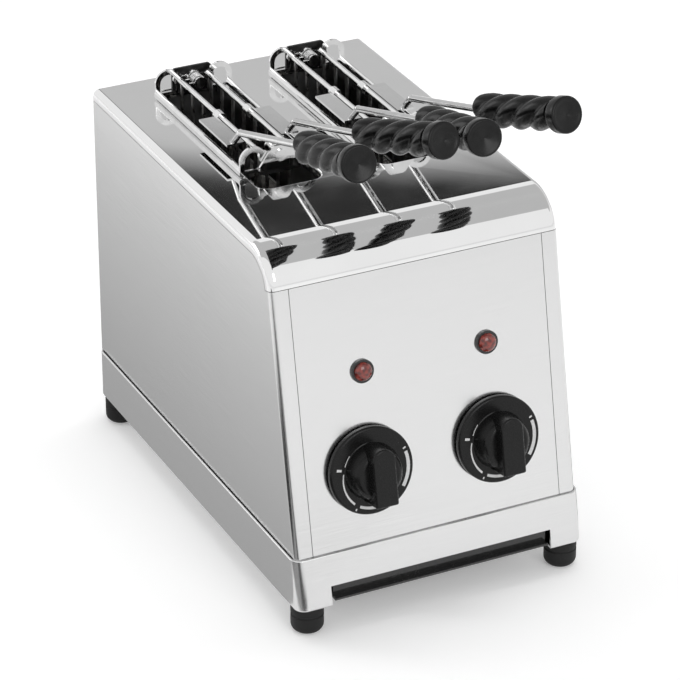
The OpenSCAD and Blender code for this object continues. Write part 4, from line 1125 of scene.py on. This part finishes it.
wire_on_path = wire_on_path_tree()
spring_wire, spring_turns, turn_steps = 0.0012, 4, 24
for side, tong in SIDES:
    low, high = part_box(f"{tong}_tong_spring")
    pitch = (high.y - low.y - spring_wire)/spring_turns
    spring_r = (high.z - low.z - spring_wire)/2
    begin = low.y + spring_wire/2
    middle_z = (low.z + high.z)/2
    turns = []
    for i in range(turn_steps*spring_turns + 1):
        t = i/turn_steps
        turns.append((side*slot_x - spring_r*cos(2*pi*t), begin + pitch*t, middle_z - spring_r*sin(2*pi*t)))
    leg_x = low.x + spring_wire/2
    path = [(leg_x, turns[0][1], turns[0][2])] + turns + [(leg_x, turns[-1][1], turns[-1][2])]
    line = bpy.data.meshes.new("spring_path")
    line.from_pydata(path, [(i, i + 1) for i in range(len(path) - 1)], [])
    spring = grow(f"{tong}_torsion_spring", wire_on_path,
                  {"Wire": spring_wire, "Material": finishes["bright_hardware"]}, line)
    fit_piece(spring, "bright_hardware", f"{tong}_tong", f"{tong}_tong_spring")
print("two springs of", spring_turns, "turns")

# %% [markdown]
# ## Small parts with softened edges
# Frames, end plates and the tray already have their right shape in CAD, but every real edge is
# slightly round and catches the light. A copy of each mesh is joined up, its edges are bevelled
# by a few tenths of a millimetre and it is shaded evenly.

# %% Softened copies
plate_edge, tray_edge = 0.0004, 0.0003


def softened(node, name, width):
    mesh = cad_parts[node].data.copy()
    mesh.name = name
    bm = bmesh.new()
    bm.from_mesh(mesh)
    bmesh.ops.remove_doubles(bm, verts=bm.verts, dist=2*same_spot)
    bm.to_mesh(mesh)
    bm.free()
    piece = loose(name, mesh)
    round_edges(piece, width, 2, 40)
    even_shading(piece, 40)
    return piece


def keep_end(piece, rear):
    """Leaves only the solid behind, or before, the middle of the slot."""
    bm = bmesh.new()
    bm.from_mesh(piece.data)
    other = [v for v in bm.verts if (v.co.y > slot_y) != rear]
    bmesh.ops.delete(bm, geom=other, context="VERTS")
    bm.to_mesh(piece.data)
    bm.free()


for side, tong in SIDES:
    # both plates are the same chrome; the rear one takes a near-black finish as painted reflection of the
    # dark grips and shaded slot in front of it
    for rear, word, slot in ((True, "rear", "end_plate_dark"), (False, "front", "tong_chrome")):
        plate = softened(f"{tong}_tong_end_plates", f"{tong}_{word}_end_plate", plate_edge)
        keep_end(plate, rear)
        fit_piece(plate, slot, f"{tong}_tong", f"{tong}_tong_end_plates")
    for half, word in SIDES:
        shape = softened(f"{tong}_tong_{word}_frame", f"{tong}_{word}_tong_frame", plate_edge)
        fit_piece(shape, "tong_chrome", f"{tong}_tong_{word}_half", f"{tong}_tong_{word}_frame")
tray = softened("crumb_tray", "enamelled_tray", tray_edge)
fit_piece(tray, "tray_black", "crumb_tray", "crumb_tray")
print("softened: plates, frames and tray")

# %% [markdown]
# ## Rear screws
# Six cross-head screws hold the rear panel. One pan head with a cross cut into it is modelled,
# turned to face the back and set on six points.

# %% Rear screws
def screw_shape():
    bm = bmesh.new()
    head_r, head_h = 0.0035, 0.002
    cross_l, cross_w, cross_depth, cut_above = 0.0044, 0.0008, 0.0009, 0.001
    dome = [radians(a) for a in range(20, 90, 10)]
    profile = [(0, 0), (head_r, 0)] + [(head_r*cos(t), head_h*sin(t)) for t in dome]
    lathe(bm, profile + [(0, head_h)], Matrix.Identity(4), 32)
    head = loose("screw_shape", as_mesh(bm, "screw_shape"))
    for x, y in ((cross_l/2, cross_w/2), (cross_w/2, cross_l/2)):
        bit = block("cross_cut", (-x, -y, head_h - cross_depth), (x, y, head_h + cut_above))
        cut = head.modifiers.new("cross_cut", "BOOLEAN")
        cut.object = bit
        settle(head)
        bpy.data.objects.remove(bit)
    head.data.transform(Matrix.Rotation(-pi/2, 4, "X"))
    return head


screw = screw_shape()
screw_inset, screw_heights = 0.014, (0.079, 0.208)
fold_x = half_w - sheet - screw_inset
screw_places = [(side*fold_x, rear_y, z) for side in (-1, 1) for z in screw_heights]
screw_places += [(side*slot_x, rear_y, top_h - cover_lip) for side in (-1, 1)]
screws = grow("cross_head_screws", placing, {"Shape": screw, "Material": finishes["bright_hardware"]},
              points_mesh("screw_places", screw_places))
bpy.data.objects.remove(screw)
fit_piece(screws, "bright_hardware", "housing", "rear_screws")
print("screws:", len(screw_places))
